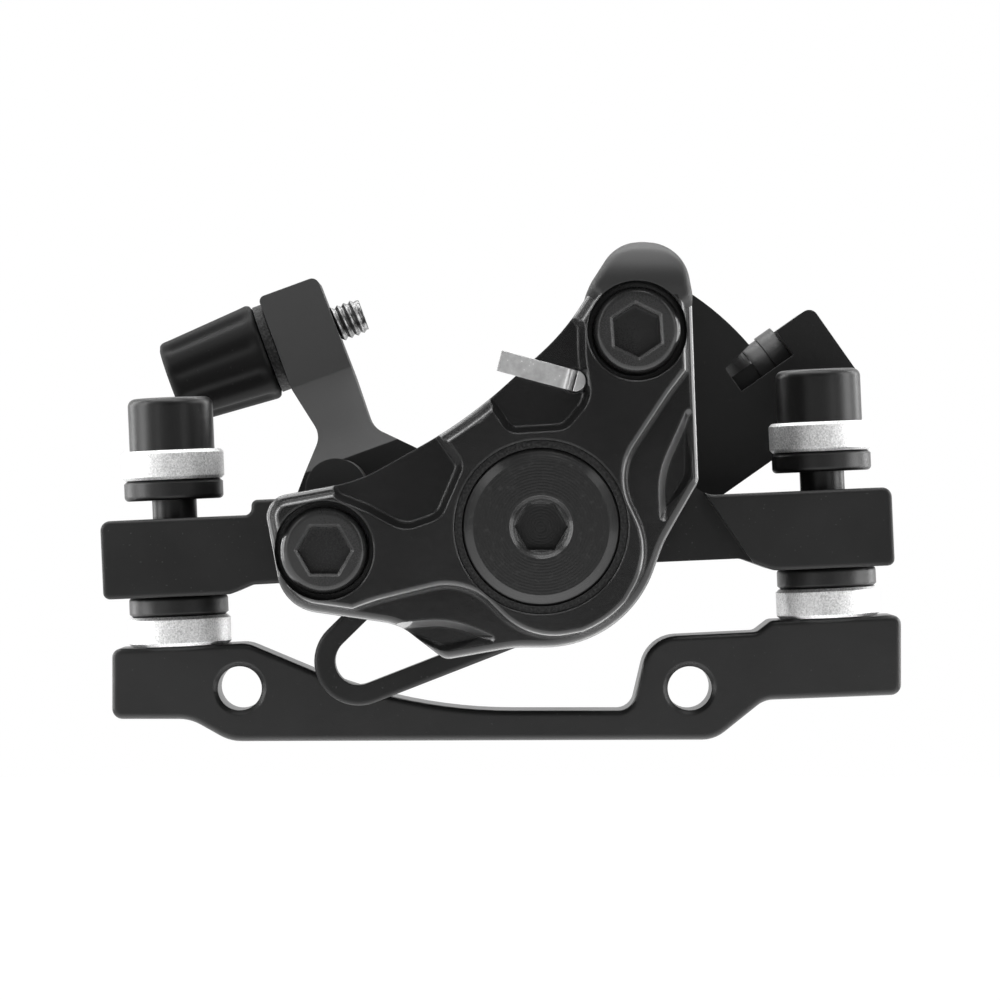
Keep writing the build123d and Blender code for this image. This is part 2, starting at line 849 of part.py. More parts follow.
# Outer half of the body, with the ears, the tie loop and the cable stop cast on
lump_place = (-half_pitch * 0.78, bolt_line * 1.44)
lump_r = 3.4
ear_step = half_pitch * 0.83
with BuildPart() as outer_housing:
    with BuildSketch(body_plane(plate_rear_depth)):
        add(body_face)
        offset(amount=-wall_inset)
        with Locations(lump_place):
            Circle(lump_r)
    extrude(amount=parting_depth - plate_rear_depth)
    with BuildSketch(body_plane(rear_depth)):
        Circle(cam_wall_r)
    extrude(amount=slot_rear - rear_depth)
    cam_rim = outer_housing.faces().sort_by(Axis.Y)[-1]
    fillet(cam_rim.edges(), radius=cam_wall_round)
    add(ear_pair.part)
    add(tie_loop.part)
    add(stop_arm.part)
    with BuildSketch(body_plane(rear_depth)):
        Circle(bush_boss_r)
    extrude(amount=-bush_boss_height)
    with BuildSketch(body_plane(rear_depth)):
        with Locations(spring_post(spring_start_angle, -1)):
            Circle(spring_post_r)
    extrude(amount=-lug_height)
    with BuildSketch(body_plane(ear_front + overrun)):
        with Locations((ear_step - half_pitch / 2, -half_pitch / 2)):
            Rectangle(half_pitch, half_pitch)
        add(body_face, mode=Mode.SUBTRACT)
    extrude(amount=-(overrun + ear_depth / 10), mode=Mode.SUBTRACT)
    with BuildSketch(body_plane(race_rear)):
        Circle(bore_r)
    extrude(amount=parting_depth - race_rear, mode=Mode.SUBTRACT)
    with BuildSketch(body_plane(rear_depth - bush_boss_height - overrun)):
        Circle(bush_r)
    extrude(amount=parting_depth, mode=Mode.SUBTRACT)
    with BuildSketch(body_plane(parting_depth)):
        with Locations(*body_bolt_places):
            Circle(bolt_thread_r + thread_gap)
        with Locations(pad_ear):
            Circle(pin_r + pin_hole_gap)
    extrude(amount=-(parting_depth - rear_depth), mode=Mode.SUBTRACT)
    add(rotor_room.part, mode=Mode.SUBTRACT)
    add(pad_room.part, mode=Mode.SUBTRACT)
outer_housing.part.label = "outer_housing"
export_step(outer_housing.part, "parts/outer_housing.step")

# Body bolts: their heads lie in the inner half's counterbores
bolt_seat_depth = front_depth - counterbore_depth
with BuildPart() as body_bolts:
    for (along, up), turn in zip(body_bolt_places, body_bolt_turns):
        seat = Plane(
            origin=body_point(along, up, bolt_seat_depth),
            x_dir=(cos(radians(turn)), 0, sin(radians(turn))),
            z_dir=(0, -1, 0),
        )
        with Locations(seat):
            add(
                socket_screw(
                    body_bolt_head_r,
                    counterbore_depth - body_bolt_sink,
                    bolt_thread_r,
                    body_bolt_reach,
                    bolt_neck_r,
                    bolt_seat_depth - parting_depth,
                    hex_across,
                    hex_depth,
                )
            )
body_bolts.part.label = "body_bolts"
export_step(body_bolts.part, "parts/body_bolts.step")

# Pads: a steel plate and a bonded lining each, the pair kept by the split pin
for name, plate_start, lining_start in (
    ("inner_pad", inner_plate_face, inner_lining_face),
    ("outer_pad", piston_face, outer_plate_face),
):
    with BuildPart() as pad_plate:
        with BuildSketch(body_plane(plate_start)):
            add(pad_face)
            with Locations(pad_ear):
                Circle(pin_r + pin_hole_gap, mode=Mode.SUBTRACT)
        extrude(amount=plate_thickness)
    pad_plate.part.label = name + "_plate"
    export_step(pad_plate.part, "parts/" + name + "_plate.step")
    with BuildPart() as pad_lining:
        with BuildSketch(body_plane(lining_start)):
            Circle(lining_r)
            with Locations((0, -lining_low_cut - lining_r)):
                Rectangle(2 * lining_r, 2 * lining_r, mode=Mode.SUBTRACT)
            with Locations((0, -rotor_offset)):
                Circle(rotor_r, mode=Mode.INTERSECT)
        extrude(amount=lining_thickness)
    pad_lining.part.label = name + "_lining"
    export_step(pad_lining.part, "parts/" + name + "_lining.step")

# Spring leaf between the two pads, bent round at the top
leaf_low = outer_plate_face + leaf_gap
leaf_high = inner_plate_face - leaf_gap
leaf_top = bolt_line * leaf_top_share
leaf_foot = bolt_line * leaf_foot_share
leaf_bend_r = (leaf_high - leaf_low) / 2
with BuildPart() as pad_spring:
    side_plane = Plane(
        origin=body_point(leaf_width / 2, 0, 0),
        x_dir=(0, -1, 0),
        z_dir=(-tilt_x, 0, -tilt_z),
    )
    with BuildSketch(side_plane):
        with BuildLine():
            Polyline(
                (leaf_low, leaf_foot),
                (leaf_low, leaf_top),
            )
            ThreePointArc(
                (leaf_low, leaf_top),
                (leaf_low + leaf_bend_r, leaf_top + leaf_bend_r),
                (leaf_high, leaf_top),
            )
            Polyline(
                (leaf_high, leaf_top),
                (leaf_high, leaf_foot),
                (leaf_high - leaf_thickness, leaf_foot),
                (leaf_high - leaf_thickness, leaf_top),
            )
            ThreePointArc(
                (leaf_high - leaf_thickness, leaf_top),
                (leaf_low + leaf_bend_r, leaf_top + leaf_bend_r - leaf_thickness),
                (leaf_low + leaf_thickness, leaf_top),
            )
            Polyline(
                (leaf_low + leaf_thickness, leaf_top),
                (leaf_low + leaf_thickness, leaf_foot),
                (leaf_low, leaf_foot),
            )
        make_face()
    extrude(amount=leaf_width)
pad_spring.part.label = "pad_spring"
export_step(pad_spring.part, "parts/pad_spring.step")


def washer(outer_r, hole_r, height):
    """A flat washer standing on the plane of the next location."""
    with BuildPart() as ring:
        Cylinder(outer_r, height, align=(Align.CENTER, Align.CENTER, Align.MIN))
        Cylinder(
            hole_r,
            height,
            align=(Align.CENTER, Align.CENTER, Align.MIN),
            mode=Mode.SUBTRACT,
        )
    return ring.part


def behind(depth):
    """A plane on the cam's axis that faces away from the wheel."""
    return Plane(
        origin=(axis_x, -depth, axis_z),
        x_dir=(-tilt_x, 0, -tilt_z),
        z_dir=(0, 1, 0),
    )


# Split pin: a straight leg, a leg bent over in front and an eye behind
pin_place = body_point(*pad_ear, 0)
pin_turn = radians(pin_bend_turn)
pin_dir = Vector(cos(pin_turn), 0, sin(pin_turn))
pocket_floor = front_depth - pocket_depth
pin_top = pocket_floor + pin_rise
eye_depth = plate_rear_depth - running_gap - pin_eye_r


def pin_point(along, depth):
    """A point of the split pin, along its bent leg's direction and at a depth."""
    return pin_place + pin_dir * along + Vector(0, -depth, 0)


with BuildPart() as split_pin:
    for hand in (1, -1):
        with BuildLine() as leg_path:
            if hand > 0:
                bend_start = pin_top - pin_bend_r
                Line(pin_point(0, eye_depth + pin_eye_r / 2), pin_point(0, bend_start))
                ThreePointArc(
                    pin_point(0, bend_start),
                    pin_point(
                        pin_bend_r * (1 - cos(pi / 4)),
                        bend_start + pin_bend_r * sin(pi / 4),
                    ),
                    pin_point(pin_bend_r, pin_top),
                )
                Line(pin_point(pin_bend_r, pin_top), pin_point(pin_leg, pin_top))
            else:
                Line(pin_point(0, eye_depth + pin_eye_r / 2), pin_point(0, pin_top))
        start = Plane(
            origin=pin_point(0, eye_depth + pin_eye_r / 2),
            x_dir=pin_dir,
            z_dir=(0, -1, 0),
        )
        with BuildSketch(start):
            Circle(pin_r)
            with Locations((-hand * (pin_r - pin_split / 2), 0)):
                Rectangle(2 * pin_r, 2 * pin_r, mode=Mode.SUBTRACT)
        sweep(path=leg_path.wires()[0])
    eye = Plane(origin=pin_point(0, eye_depth), x_dir=pin_dir, z_dir=(-pin_dir.Z, 0, pin_dir.X))
    with Locations(eye):
        Torus(pin_eye_r - pin_eye_wire_r, pin_eye_wire_r)
split_pin.part.label = "split_pin"
export_step(split_pin.part, "parts/split_pin.step")

# Piston, a plain disc that presses the outer pad
with BuildPart() as piston:
    with BuildSketch(body_plane(cam_front)):
        Circle(piston_r)
    extrude(amount=piston_thickness)
    chamfer(piston.edges().filter_by(GeomType.CIRCLE), length=piston_chamfer)
piston.part.label = "piston"
export_step(piston.part, "parts/piston.step")

# Balls between the race and the cam
ball_places = [360 * i / ball_count for i in range(ball_count)]


def cam_point(angle, radius, depth):
    """A point round the cam's axis, the angle counted anticlockwise seen from the wheel."""
    return body_point(radius * cos(radians(angle)), radius * sin(radians(angle)), depth)


with BuildPart() as cam_balls:
    for angle in ball_places:
        with Locations(Location(cam_point(angle, ball_circle_r, ball_depth))):
            Sphere(ball_r)
cam_balls.part.label = "cam_balls"
export_step(cam_balls.part, "parts/cam_balls.step")

# Race: a fixed disc with a seat for each ball
with BuildPart() as cam_race:
    with BuildSketch(body_plane(race_rear)):
        Circle(bore_r - race_gap)
        Circle(shaft_r + running_gap, mode=Mode.SUBTRACT)
    extrude(amount=race_thickness)
    for angle in ball_places:
        with Locations(Location(cam_point(angle, ball_circle_r, ball_depth))):
            Sphere(ball_r + ball_gap, mode=Mode.SUBTRACT)
cam_race.part.label = "cam_race"
export_step(cam_race.part, "parts/cam_race.step")

# Cam spindle: a disc with a sloping groove for each ball, on the shaft that the arm turns
with BuildPart() as cam_spindle:
    with BuildSketch(body_plane(cam_rear)):
        Circle(piston_r)
    extrude(amount=cam_disc_thickness)
    with BuildSketch(body_plane(arm_front_depth)):
        Circle(shaft_r)
    extrude(amount=cam_rear - arm_front_depth)
    with BuildSketch(body_plane(arm_rear_depth + running_gap)):
        Rectangle(shaft_square, shaft_square)
    extrude(amount=arm_thickness)
    with BuildSketch(body_plane(arm_rear_depth)):
        Circle(arm_bolt_thread_r + thread_gap)
    extrude(amount=arm_bolt_reach, mode=Mode.SUBTRACT)
    for angle in ball_places:
        groove_start = cam_point(angle, ball_circle_r, ball_depth)
        groove_end = cam_point(angle - swing, ball_circle_r, ball_depth - travel)
        with BuildSketch(Plane(origin=groove_start, z_dir=groove_end - groove_start)):
            Circle(ball_r + groove_gap)
        extrude(amount=(groove_end - groove_start).length, mode=Mode.SUBTRACT)
        with Locations(Location(groove_start), Location(groove_end)):
            Sphere(ball_r + groove_gap, mode=Mode.SUBTRACT)
cam_spindle.part.label = "cam_spindle"
export_step(cam_spindle.part, "parts/cam_spindle.step")

# Bush that carries the shaft, and the ring that seals it
bush_end = rear_depth - bush_boss_height
with BuildPart() as shaft_bush:
    with BuildSketch(body_plane(bush_end)):
        Circle(bush_r)
        Circle(shaft_r + thread_gap, mode=Mode.SUBTRACT)
    extrude(amount=race_rear - bush_end)
shaft_bush.part.label = "shaft_bush"
export_step(shaft_bush.part, "parts/shaft_bush.step")

with BuildPart() as shaft_seal:
    with Locations(behind(bush_end - shaft_seal_r)):
        Torus(shaft_r + shaft_seal_gap + shaft_seal_r, shaft_seal_r)
shaft_seal.part.label = "shaft_seal"
export_step(shaft_seal.part, "parts/shaft_seal.step")

# Pad adjuster: a threaded disc with a hexagon socket, and the ring round it
with BuildPart() as pad_adjuster:
    with BuildSketch(body_plane(adjuster_rear)):
        Circle(adjuster_r)
    extrude(amount=adjuster_front - adjuster_rear)
    front = pad_adjuster.faces().sort_by(Axis.Y)[0]
    chamfer(front.edges(), length=adjuster_bevel_height, length2=adjuster_bevel)
    with BuildSketch(facing(adjuster_front)):
        with Locations((axis_x, axis_z)):
            RegularPolygon(radius=hex_across / 2, side_count=6, major_radius=False)
    extrude(amount=-adjuster_socket_depth, mode=Mode.SUBTRACT)
    with Locations(body_plane(adjuster_front)):
        Cone(
            adjuster_entry_r - adjuster_entry_depth,
            adjuster_entry_r,
            adjuster_entry_depth,
            align=(Align.CENTER, Align.CENTER, Align.MAX),
            mode=Mode.SUBTRACT,
        )
pad_adjuster.part.label = "pad_adjuster"
export_step(pad_adjuster.part, "parts/pad_adjuster.step")

with BuildPart() as adjuster_seal:
    with BuildSketch(body_plane(front_depth - seal_height)):
        Circle(seal_bore_r - thread_gap)
        Circle(adjuster_r + thread_gap, mode=Mode.SUBTRACT)
    extrude(amount=seal_height - seal_sink)
adjuster_seal.part.label = "adjuster_seal"
export_step(adjuster_seal.part, "parts/adjuster_seal.step")

# Return spring between the body and the arm, one wire from leg to leg
body_x = Vector(tilt_x, 0, tilt_z)
body_y = Vector(-tilt_z, 0, tilt_x)
spring_climb = spring_pitch / (2 * pi * spring_r)


def coil_point(quarter):
    """A point of the spring's centre line after a number of quarter turns."""
    depth = spring_front - spring_pitch * quarter / 4
    return cam_point(spring_start_angle + quarter_turn * quarter, spring_r, depth)


def coil_heading(quarter):
    """The centre line's direction after a number of quarter turns."""
    turn = radians(spring_start_angle + quarter_turn * quarter)
    return (body_y * cos(turn) - body_x * sin(turn) + Vector(0, spring_climb, 0)).normalized()


def meeting_point(start, start_way, end, end_way):
    """Where two arcs meet that join the start to the end, and their direction there."""
    chord = end - start
    both = start_way + end_way
    bend = 2 * (1 - start_way.dot(end_way))
    along = chord.dot(both)
    reach = (sqrt(along**2 + bend * chord.dot(chord)) - along) / bend
    leaving = start + start_way * reach
    reaching = end - end_way * reach
    return (leaving + reaching) * 0.5, reaching - leaving


with BuildPart() as return_spring:
    with BuildLine() as centre_line:
        leg_start = coil_point(0) - coil_heading(0) * spring_leg
        leg_end = coil_point(spring_quarters) + coil_heading(spring_quarters) * spring_leg
        Line(leg_start, coil_point(0))
        for quarter in range(spring_quarters):
            start = coil_point(quarter)
            end = coil_point(quarter + 1)
            start_way = coil_heading(quarter)
            middle, middle_way = meeting_point(start, start_way, end, coil_heading(quarter + 1))
            TangentArc(start, middle, tangent=start_way)
            TangentArc(middle, end, tangent=middle_way)
        Line(coil_point(spring_quarters), leg_end)
    with BuildSketch(Plane(origin=leg_start, z_dir=coil_heading(0))):
        Circle(wire_d / 2)
    sweep(path=centre_line.wires()[0])
return_spring.part.label = "return_spring"
export_step(return_spring.part, "parts/return_spring.step")

# The wire's least gap to itself, measured between points of its centre line that lie at least
# half a turn apart
spring_line = centre_line.wires()[0]
spring_steps = spring_quarters * 24
half_turn = pi * spring_r
spring_points = [spring_line.position_at(i / spring_steps) for i in range(spring_steps + 1)]
step_length = spring_line.length / spring_steps
spring_gaps = [
    (spring_points[i] - spring_points[k]).length - wire_d
    for i in range(spring_steps + 1)
    for k in range(i)
    if (i - k) * step_length > half_turn
]
print("return spring, least gap to itself in mm:", round(min(spring_gaps), 3))

# Actuating arm: a plate on the shaft's square, a grooved quadrant for the cable and a tip block
quadrant_low = (
    quadrant_r * cos(radians(quadrant_start)),
    quadrant_r * sin(radians(quadrant_start)),
)
quadrant_high = (
    quadrant_r * cos(radians(quadrant_end)),
    quadrant_r * sin(radians(quadrant_end)),
)
flange_low = (
    quadrant_r * cos(radians(flange_start)),
    quadrant_r * sin(radians(flange_start)),
)
quadrant_mid_angle = radians((quadrant_start + quadrant_end) / 2)
quadrant_mid = (quadrant_r * cos(quadrant_mid_angle), quadrant_r * sin(quadrant_mid_angle))
hub_angle = radians(quadrant_end) + acos(arm_hub_r / quadrant_r)
notch_left = arm_reach - notch_depth
with BuildPart() as actuating_arm:
    with BuildSketch(body_plane(arm_rear_depth)):
        with BuildLine():
            Polyline(
                quadrant_high,
                (arm_hub_r * cos(hub_angle), arm_hub_r * sin(hub_angle)),
                (0, 0),
                (0, -arm_hub_r),
                (arm_reach - tip_cut, -arm_hub_r),
                (arm_tip, -tip_bottom),
                (arm_tip, notch_line),
                (notch_left, notch_line),
                (notch_left, notch_top),
                quadrant_low,
            )
            ThreePointArc(quadrant_low, quadrant_mid, quadrant_high)
        make_face()
        Circle(arm_hub_r)
    extrude(amount=arm_thickness)
    with BuildSketch(body_plane(quadrant_rear)):
        with BuildLine():
            ThreePointArc(flange_low, quadrant_mid, quadrant_high)
            Polyline(quadrant_high, (0, 0), flange_low)
        make_face()
        Circle(quadrant_r - quadrant_wall, mode=Mode.SUBTRACT)
    extrude(amount=arm_front_depth - quadrant_rear)
    with BuildSketch(body_plane(cable_depth - tip_reach)):
        with BuildLine():
            FilletPolyline(
                (arm_reach, tip_top),
                (arm_tip, tip_top),
                (arm_tip, -tip_bottom),
                (arm_reach, -tip_bottom),
                radius=[0, tip_corner_r, 0, 0],
                close=True,
            )
        make_face()
    extrude(amount=arm_front_depth - cable_depth + tip_reach)
    tip_edges = actuating_arm.faces().sort_by(Axis.Y)[-1].edges()
    fillet(tip_edges.filter_by(Axis((0, 0, 0), tuple(body_x))), radius=tip_round)
    with Locations(behind(cable_depth)):
        Torus(quadrant_r, cable_groove_r, mode=Mode.SUBTRACT)
    with BuildSketch(body_plane(arm_rear_depth - overrun)):
        Rectangle(shaft_square + 2 * square_gap, shaft_square + 2 * square_gap)
    extrude(amount=arm_thickness + 2 * overrun, mode=Mode.SUBTRACT)
    pinch_plane = Plane(
        origin=body_point(arm_reach, pinch_line, cable_depth),
        x_dir=body_y,
        z_dir=body_x,
    )
    with BuildSketch(pinch_plane.offset(-overrun)):
        Circle(pinch_thread_r + thread_gap)
    extrude(amount=arm_tip_thickness + 2 * overrun, mode=Mode.SUBTRACT)
    with BuildSketch(body_plane(arm_front_depth)):
        with Locations(spring_post(spring_end_angle, 1)):
            Circle(spring_post_r)
    extrude(amount=lug_height)
actuating_arm.part.label = "actuating_arm"
export_step(actuating_arm.part, "parts/actuating_arm.step")

# Pinch bolt and what it clamps the cable with
pinch_stack = pinch_washer_height + pinch_cup_height
pinch_seat = pinch_plane.offset(-pinch_stack)
with BuildPart() as pinch_bolt:
    with BuildSketch(pinch_seat):
        RegularPolygon(radius=pinch_head_across / 2, side_count=6, major_radius=False)
    extrude(amount=-pinch_head_height)
    with BuildSketch(pinch_seat):
        Circle(pinch_thread_r)
    extrude(amount=pinch_stack + arm_tip_thickness - pinch_point)
    end_edge = pinch_bolt.faces().sort_by(Axis((0, 0, 0), tuple(body_x)))[-1].edges()
    chamfer(end_edge, length=pinch_point)
pinch_bolt.part.label = "pinch_bolt"
export_step(pinch_bolt.part, "parts/pinch_bolt.step")

with BuildPart() as pinch_washer:
    with Locations(pinch_seat):
        add(washer(pinch_washer_r, pinch_thread_r + thread_gap, pinch_washer_height))
pinch_washer.part.label = "pinch_washer"
export_step(pinch_washer.part, "parts/pinch_washer.step")

with BuildPart() as pinch_cup:
    with Locations(pinch_plane.offset(-pinch_cup_height)):
        add(washer(pinch_cup_r, pinch_thread_r + thread_gap, pinch_cup_height))
pinch_cup.part.label = "pinch_cup"
export_step(pinch_cup.part, "parts/pinch_cup.step")

# Bolt and washer that hold the arm on the shaft
with BuildPart() as arm_washer:
    with Locations(behind(arm_rear_depth)):
        add(washer(arm_washer_r, arm_bolt_thread_r + thread_gap, arm_washer_height))
arm_washer.part.label = "arm_washer"
export_step(arm_washer.part, "parts/arm_washer.step")

with BuildPart() as arm_bolt:
    with Locations(behind(arm_rear_depth - arm_washer_height)):
        add(
            socket_screw(
                arm_bolt_head_r,
                arm_bolt_head_height,
                arm_bolt_thread_r,
                arm_bolt_reach,
                arm_bolt_neck_r,
                arm_washer_height,
                arm_bolt_hex,
                arm_bolt_hex_depth,
            )
        )
arm_bolt.part.label = "arm_bolt"
export_step(arm_bolt.part, "parts/arm_bolt.step")

# Barrel adjuster with its fluted knob, and the ring between knob and stop
with BuildPart() as barrel_blank:
    with BuildSketch(Plane.XZ):
        with BuildLine():
            Polyline(
                (0, -barrel_length),
                (barrel_small_r, -barrel_length),
                (barrel_r, 0),
                (barrel_stud_r, 0),
                (barrel_stud_r, barrel_stud_length),
                (0, barrel_stud_length),
                close=True,
            )
        make_face()
    revolve(axis=Axis.Z)
    knob_edges = barrel_blank.edges().filter_by(GeomType.CIRCLE)
    knob_edges = knob_edges.filter_by(lambda edge: edge.radius > barrel_stud_r + barrel_round)
    fillet(knob_edges, radius=barrel_round)
    flute_middle = flute_r - flute_sink
    for i in range(barrel_flutes):
        turn = 2 * pi * i / barrel_flutes
        low = (barrel_small_r + flute_middle) * Vector(cos(turn), sin(turn), 0)
        high = (barrel_r + flute_middle) * Vector(cos(turn), sin(turn), 0)
        flute_way = high - low + Vector(0, 0, barrel_length)
        with BuildSketch(Plane(origin=low - Vector(0, 0, barrel_length), z_dir=flute_way)):
            Circle(flute_r)
        extrude(amount=flute_way.length, both=True, mode=Mode.SUBTRACT)
    with BuildSketch(Plane.XY.offset(-barrel_length)):
        Circle(housing_socket_r)
    extrude(amount=housing_socket_depth, mode=Mode.SUBTRACT)
    with BuildSketch(Plane.XY):
        Circle(cable_hole_r)
    extrude(amount=barrel_length + barrel_stud_length, both=True, mode=Mode.SUBTRACT)

with BuildPart() as barrel_adjuster:
    with Locations(barrel_plane(0)):
        add(barrel_blank.part)
barrel_adjuster.part.label = "barrel_adjuster"
export_step(barrel_adjuster.part, "parts/barrel_adjuster.step")

with BuildPart() as barrel_ring:
    with Locations(barrel_plane(barrel_ring_gap)):
        add(washer(barrel_ring_r, barrel_stud_r + thread_gap, barrel_ring_height))
barrel_ring.part.label = "barrel_ring"
export_step(barrel_ring.part, "parts/barrel_ring.step")
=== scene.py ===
# %% [markdown]
# A bicycle disc brake caliper, dressed for its photograph
#
# The caliper squeezes a steel rotor between two pads. A cable pulls the arm at the back, the arm
# turns a cam, and the cam pushes one pad. The CAD model already holds every solid part in its real
# place, so this notebook adds what CAD leaves out: paint, grain, threads, flutes, the rounder nose
# of the upper boss, light and camera.

# %% Load the frame
import json
import math

import bmesh
import bpy
from mathutils import Matrix, Vector

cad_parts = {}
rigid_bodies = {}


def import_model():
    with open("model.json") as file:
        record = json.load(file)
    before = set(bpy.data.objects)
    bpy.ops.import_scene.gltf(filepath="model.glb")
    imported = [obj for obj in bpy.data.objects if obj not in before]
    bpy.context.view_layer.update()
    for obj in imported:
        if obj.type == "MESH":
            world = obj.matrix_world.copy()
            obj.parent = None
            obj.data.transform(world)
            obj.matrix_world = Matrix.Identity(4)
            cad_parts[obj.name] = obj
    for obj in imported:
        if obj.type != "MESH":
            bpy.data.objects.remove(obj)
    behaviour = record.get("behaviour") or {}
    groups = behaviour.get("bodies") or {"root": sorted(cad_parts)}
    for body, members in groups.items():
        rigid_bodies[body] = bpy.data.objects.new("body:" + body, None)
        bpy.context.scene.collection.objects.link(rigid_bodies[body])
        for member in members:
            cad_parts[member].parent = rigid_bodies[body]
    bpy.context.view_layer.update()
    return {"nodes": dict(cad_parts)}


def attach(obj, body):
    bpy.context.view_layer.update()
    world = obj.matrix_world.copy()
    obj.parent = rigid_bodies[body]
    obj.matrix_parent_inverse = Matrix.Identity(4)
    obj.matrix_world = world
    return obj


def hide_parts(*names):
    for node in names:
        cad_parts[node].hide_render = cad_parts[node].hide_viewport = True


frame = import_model()
MM = 0.001

# %% [markdown]
# Shader maths as Python expressions
#
# A finish is a small tree of nodes. Wiring Math nodes by hand is slow to read, so a socket is
# wrapped in a class that overloads the operators: `1 - mask * 0.3` adds the two Math nodes by
# itself. The operators have a class of their own, because Geometry Nodes use them too, further
# down. Any other node that feeds a shader comes from one method, which sets the node's options
# first and its sockets after. Blends of two colours and steps between two values have a short
# method each.


# %% The classes behind the expressions
class Operators:
    """Python's operators, each written with the maths method of the class that has them."""

    def __add__(self, other):
        return self.maths("ADD", self, other)

    def __radd__(self, other):
        return self.maths("ADD", other, self)

    def __sub__(self, other):
        return self.maths("SUBTRACT", self, other)

    def __rsub__(self, other):
        return self.maths("SUBTRACT", other, self)

    def __mul__(self, other):
        return self.maths("MULTIPLY", self, other)

    def __truediv__(self, other):
        return self.maths("DIVIDE", self, other)


class Flow(Operators):
    """A socket in a material's tree."""

    def __init__(self, finish, socket):
        self.finish = finish
        self.socket = socket

    def maths(self, operation, *values):
        inputs = dict(enumerate(values))
        return self.finish.node("ShaderNodeMath", {"operation": operation}, inputs)


class ShaderTree:
    """The nodes of a material or of the world."""

    def __init__(self, tree):
        self.tree = tree
        tree.nodes.clear()

    def put(self, socket, value):
        if isinstance(value, Flow):
            self.tree.links.new(value.socket, socket)
        else:
            socket.default_value = value

    def node(self, kind, settings=None, values=None, out=0):
        made = self.tree.nodes.new(kind)
        for key, value in (settings or {}).items():
            if key == "stops":
                elements = made.color_ramp.elements
                while len(elements) < len(value):
                    elements.new(0.5)
                for stop, (place, light) in zip(elements, value):
                    stop.position = place
                    stop.color = (light, light, light, 1)
            else:
                setattr(made, key, value)
        for key, value in (values or {}).items():
            self.put(made.inputs[key], value)
        return Flow(self, made.outputs[out])

    def blend(self, share, low, high):
        """A colour between two others."""
        values = {"Factor": share, 6: low, 7: high}
        return self.node("ShaderNodeMix", {"data_type": "RGBA"}, values, out=2)

    def span(self, value, low, high, kind="LINEAR"):
        """0 at the low value, 1 at the high one, a straight or smooth step between them."""
        values = {"Value": value, "From Min": low, "From Max": high}
        return self.node("ShaderNodeMapRange", {"interpolation_type": kind}, values)


class Finish(ShaderTree):
    """A material under construction: one Principled shader and whatever feeds it."""

    def __init__(self, name):
        self.material = bpy.data.materials.new(name)
        self.material.use_nodes = True
        super().__init__(self.material.node_tree)
        self.shader = self.tree.nodes.new("ShaderNodeBsdfPrincipled")
        output = self.tree.nodes.new("ShaderNodeOutputMaterial")
        self.tree.links.new(self.shader.outputs[0], output.inputs[0])

    def shade(self, **values):
        for key, value in values.items():
            self.put(self.shader.inputs[key.replace("_", " ")], value)


print("shader tools ready")

# %% [markdown]
# Finishes
#
# The photograph shows five kinds of surface: semi-gloss black paint on the castings, a finer
# black on the screws, grainy zinc on the cup washers, bright steel on the split pin, and matt
# rubber. Paints share one function and metals another, each with other numbers: a grey, a
# roughness, and how coarse and deep the grain is. A Bevel node rounds the look of the CAD's sharp
# edges by a fraction of a millimetre, as casting and paint do.
#
# Three masks follow the shape. The glossy coat covers what faces the front and leaves the side
# walls matt. The slopes of the hollows that look right and down are painted a paler grey, a
# painted highlight. Behind the bracket the outer half is painted an even, paler grey, made darker
# on the faces that look up as painted shade.


# %% The recipes for paint and metal
DISPLAY_GAMMA = 2.2
BUMP_DEPTH = 0.03
BEVEL_SAMPLES = 4
X, Y, Z = 0, 1, 2


def light_of(level):
    """The linear light of a displayed grey between 0 and 1."""
    return level**DISPLAY_GAMMA


def grey(level):
    """An RGBA colour from a displayed grey between 0 and 1."""
    return (light_of(level), light_of(level), light_of(level), 1)


def object_place(finish):
    return finish.node("ShaderNodeTexCoord", out="Object")


def noise(finish, per_mm, detail=2.0, rough=0.5):
    settings = {"noise_dimensions": "3D"}
    values = {
        "Vector": object_place(finish),
        "Scale": per_mm / MM,
        "Detail": detail,
        "Roughness": rough,
    }
    return finish.node("ShaderNodeTexNoise", settings, values, out="Fac")


def ramp(finish, mask, stops):
    return finish.node("ShaderNodeValToRGB", {"stops": stops}, {"Fac": mask}, out="Color")


def soft_edge(finish, radius_mm):
    """The normal with edges rounded by a radius."""
    settings, values = {"samples": BEVEL_SAMPLES}, {"Radius": radius_mm * MM}
    return finish.node("ShaderNodeBevel", settings, values, out="Normal")


def bumped(finish, height, depth_mm, radius_mm):
    """The rounded normal with a height map's bumps on it."""
    values = {
        "Height": height,
        "Distance": depth_mm * MM,
        "Strength": 1.0,
        "Normal": soft_edge(finish, radius_mm),
    }
    return finish.node("ShaderNodeBump", None, values, out="Normal")


def facing(finish, axis):
    """The object's own normal along one axis, from -1 to 1."""
    normal = finish.node("ShaderNodeTexCoord", out="Normal")
    return finish.node("ShaderNodeSeparateXYZ", None, {0: normal}, out=axis)


# Along Y a normal is -1 where it looks at the front and 0 on a side wall. Each pair gives where a
# mask is 0 and where it is 1.
COATED = (-0.15, -0.45)
OFF_THE_FRONT = (-0.80, -0.55)
OFF_THE_SIDE = (-0.15, -0.35)
RIGHT_OR_DOWN = (0.15, 0.75)


def frontal(finish):
    """1 on what faces the front, up to a steep slope, and 0 on the side walls."""
    return finish.span(facing(finish, Y), *COATED)


def painted_highlight_mask(finish):
    """Painted highlight mask: 1 on the walls that slope to the right or down and half way to the
    front.
    """
    slope = finish.span(facing(finish, Y), *OFF_THE_FRONT, "SMOOTHSTEP")
    steep = finish.span(facing(finish, Y), *OFF_THE_SIDE, "SMOOTHSTEP")
    way = facing(finish, X) - facing(finish, Z)
    return slope * steep * finish.span(way, *RIGHT_OR_DOWN, "SMOOTHSTEP")


FADE_START, FADE_END = -1.0, 6.0


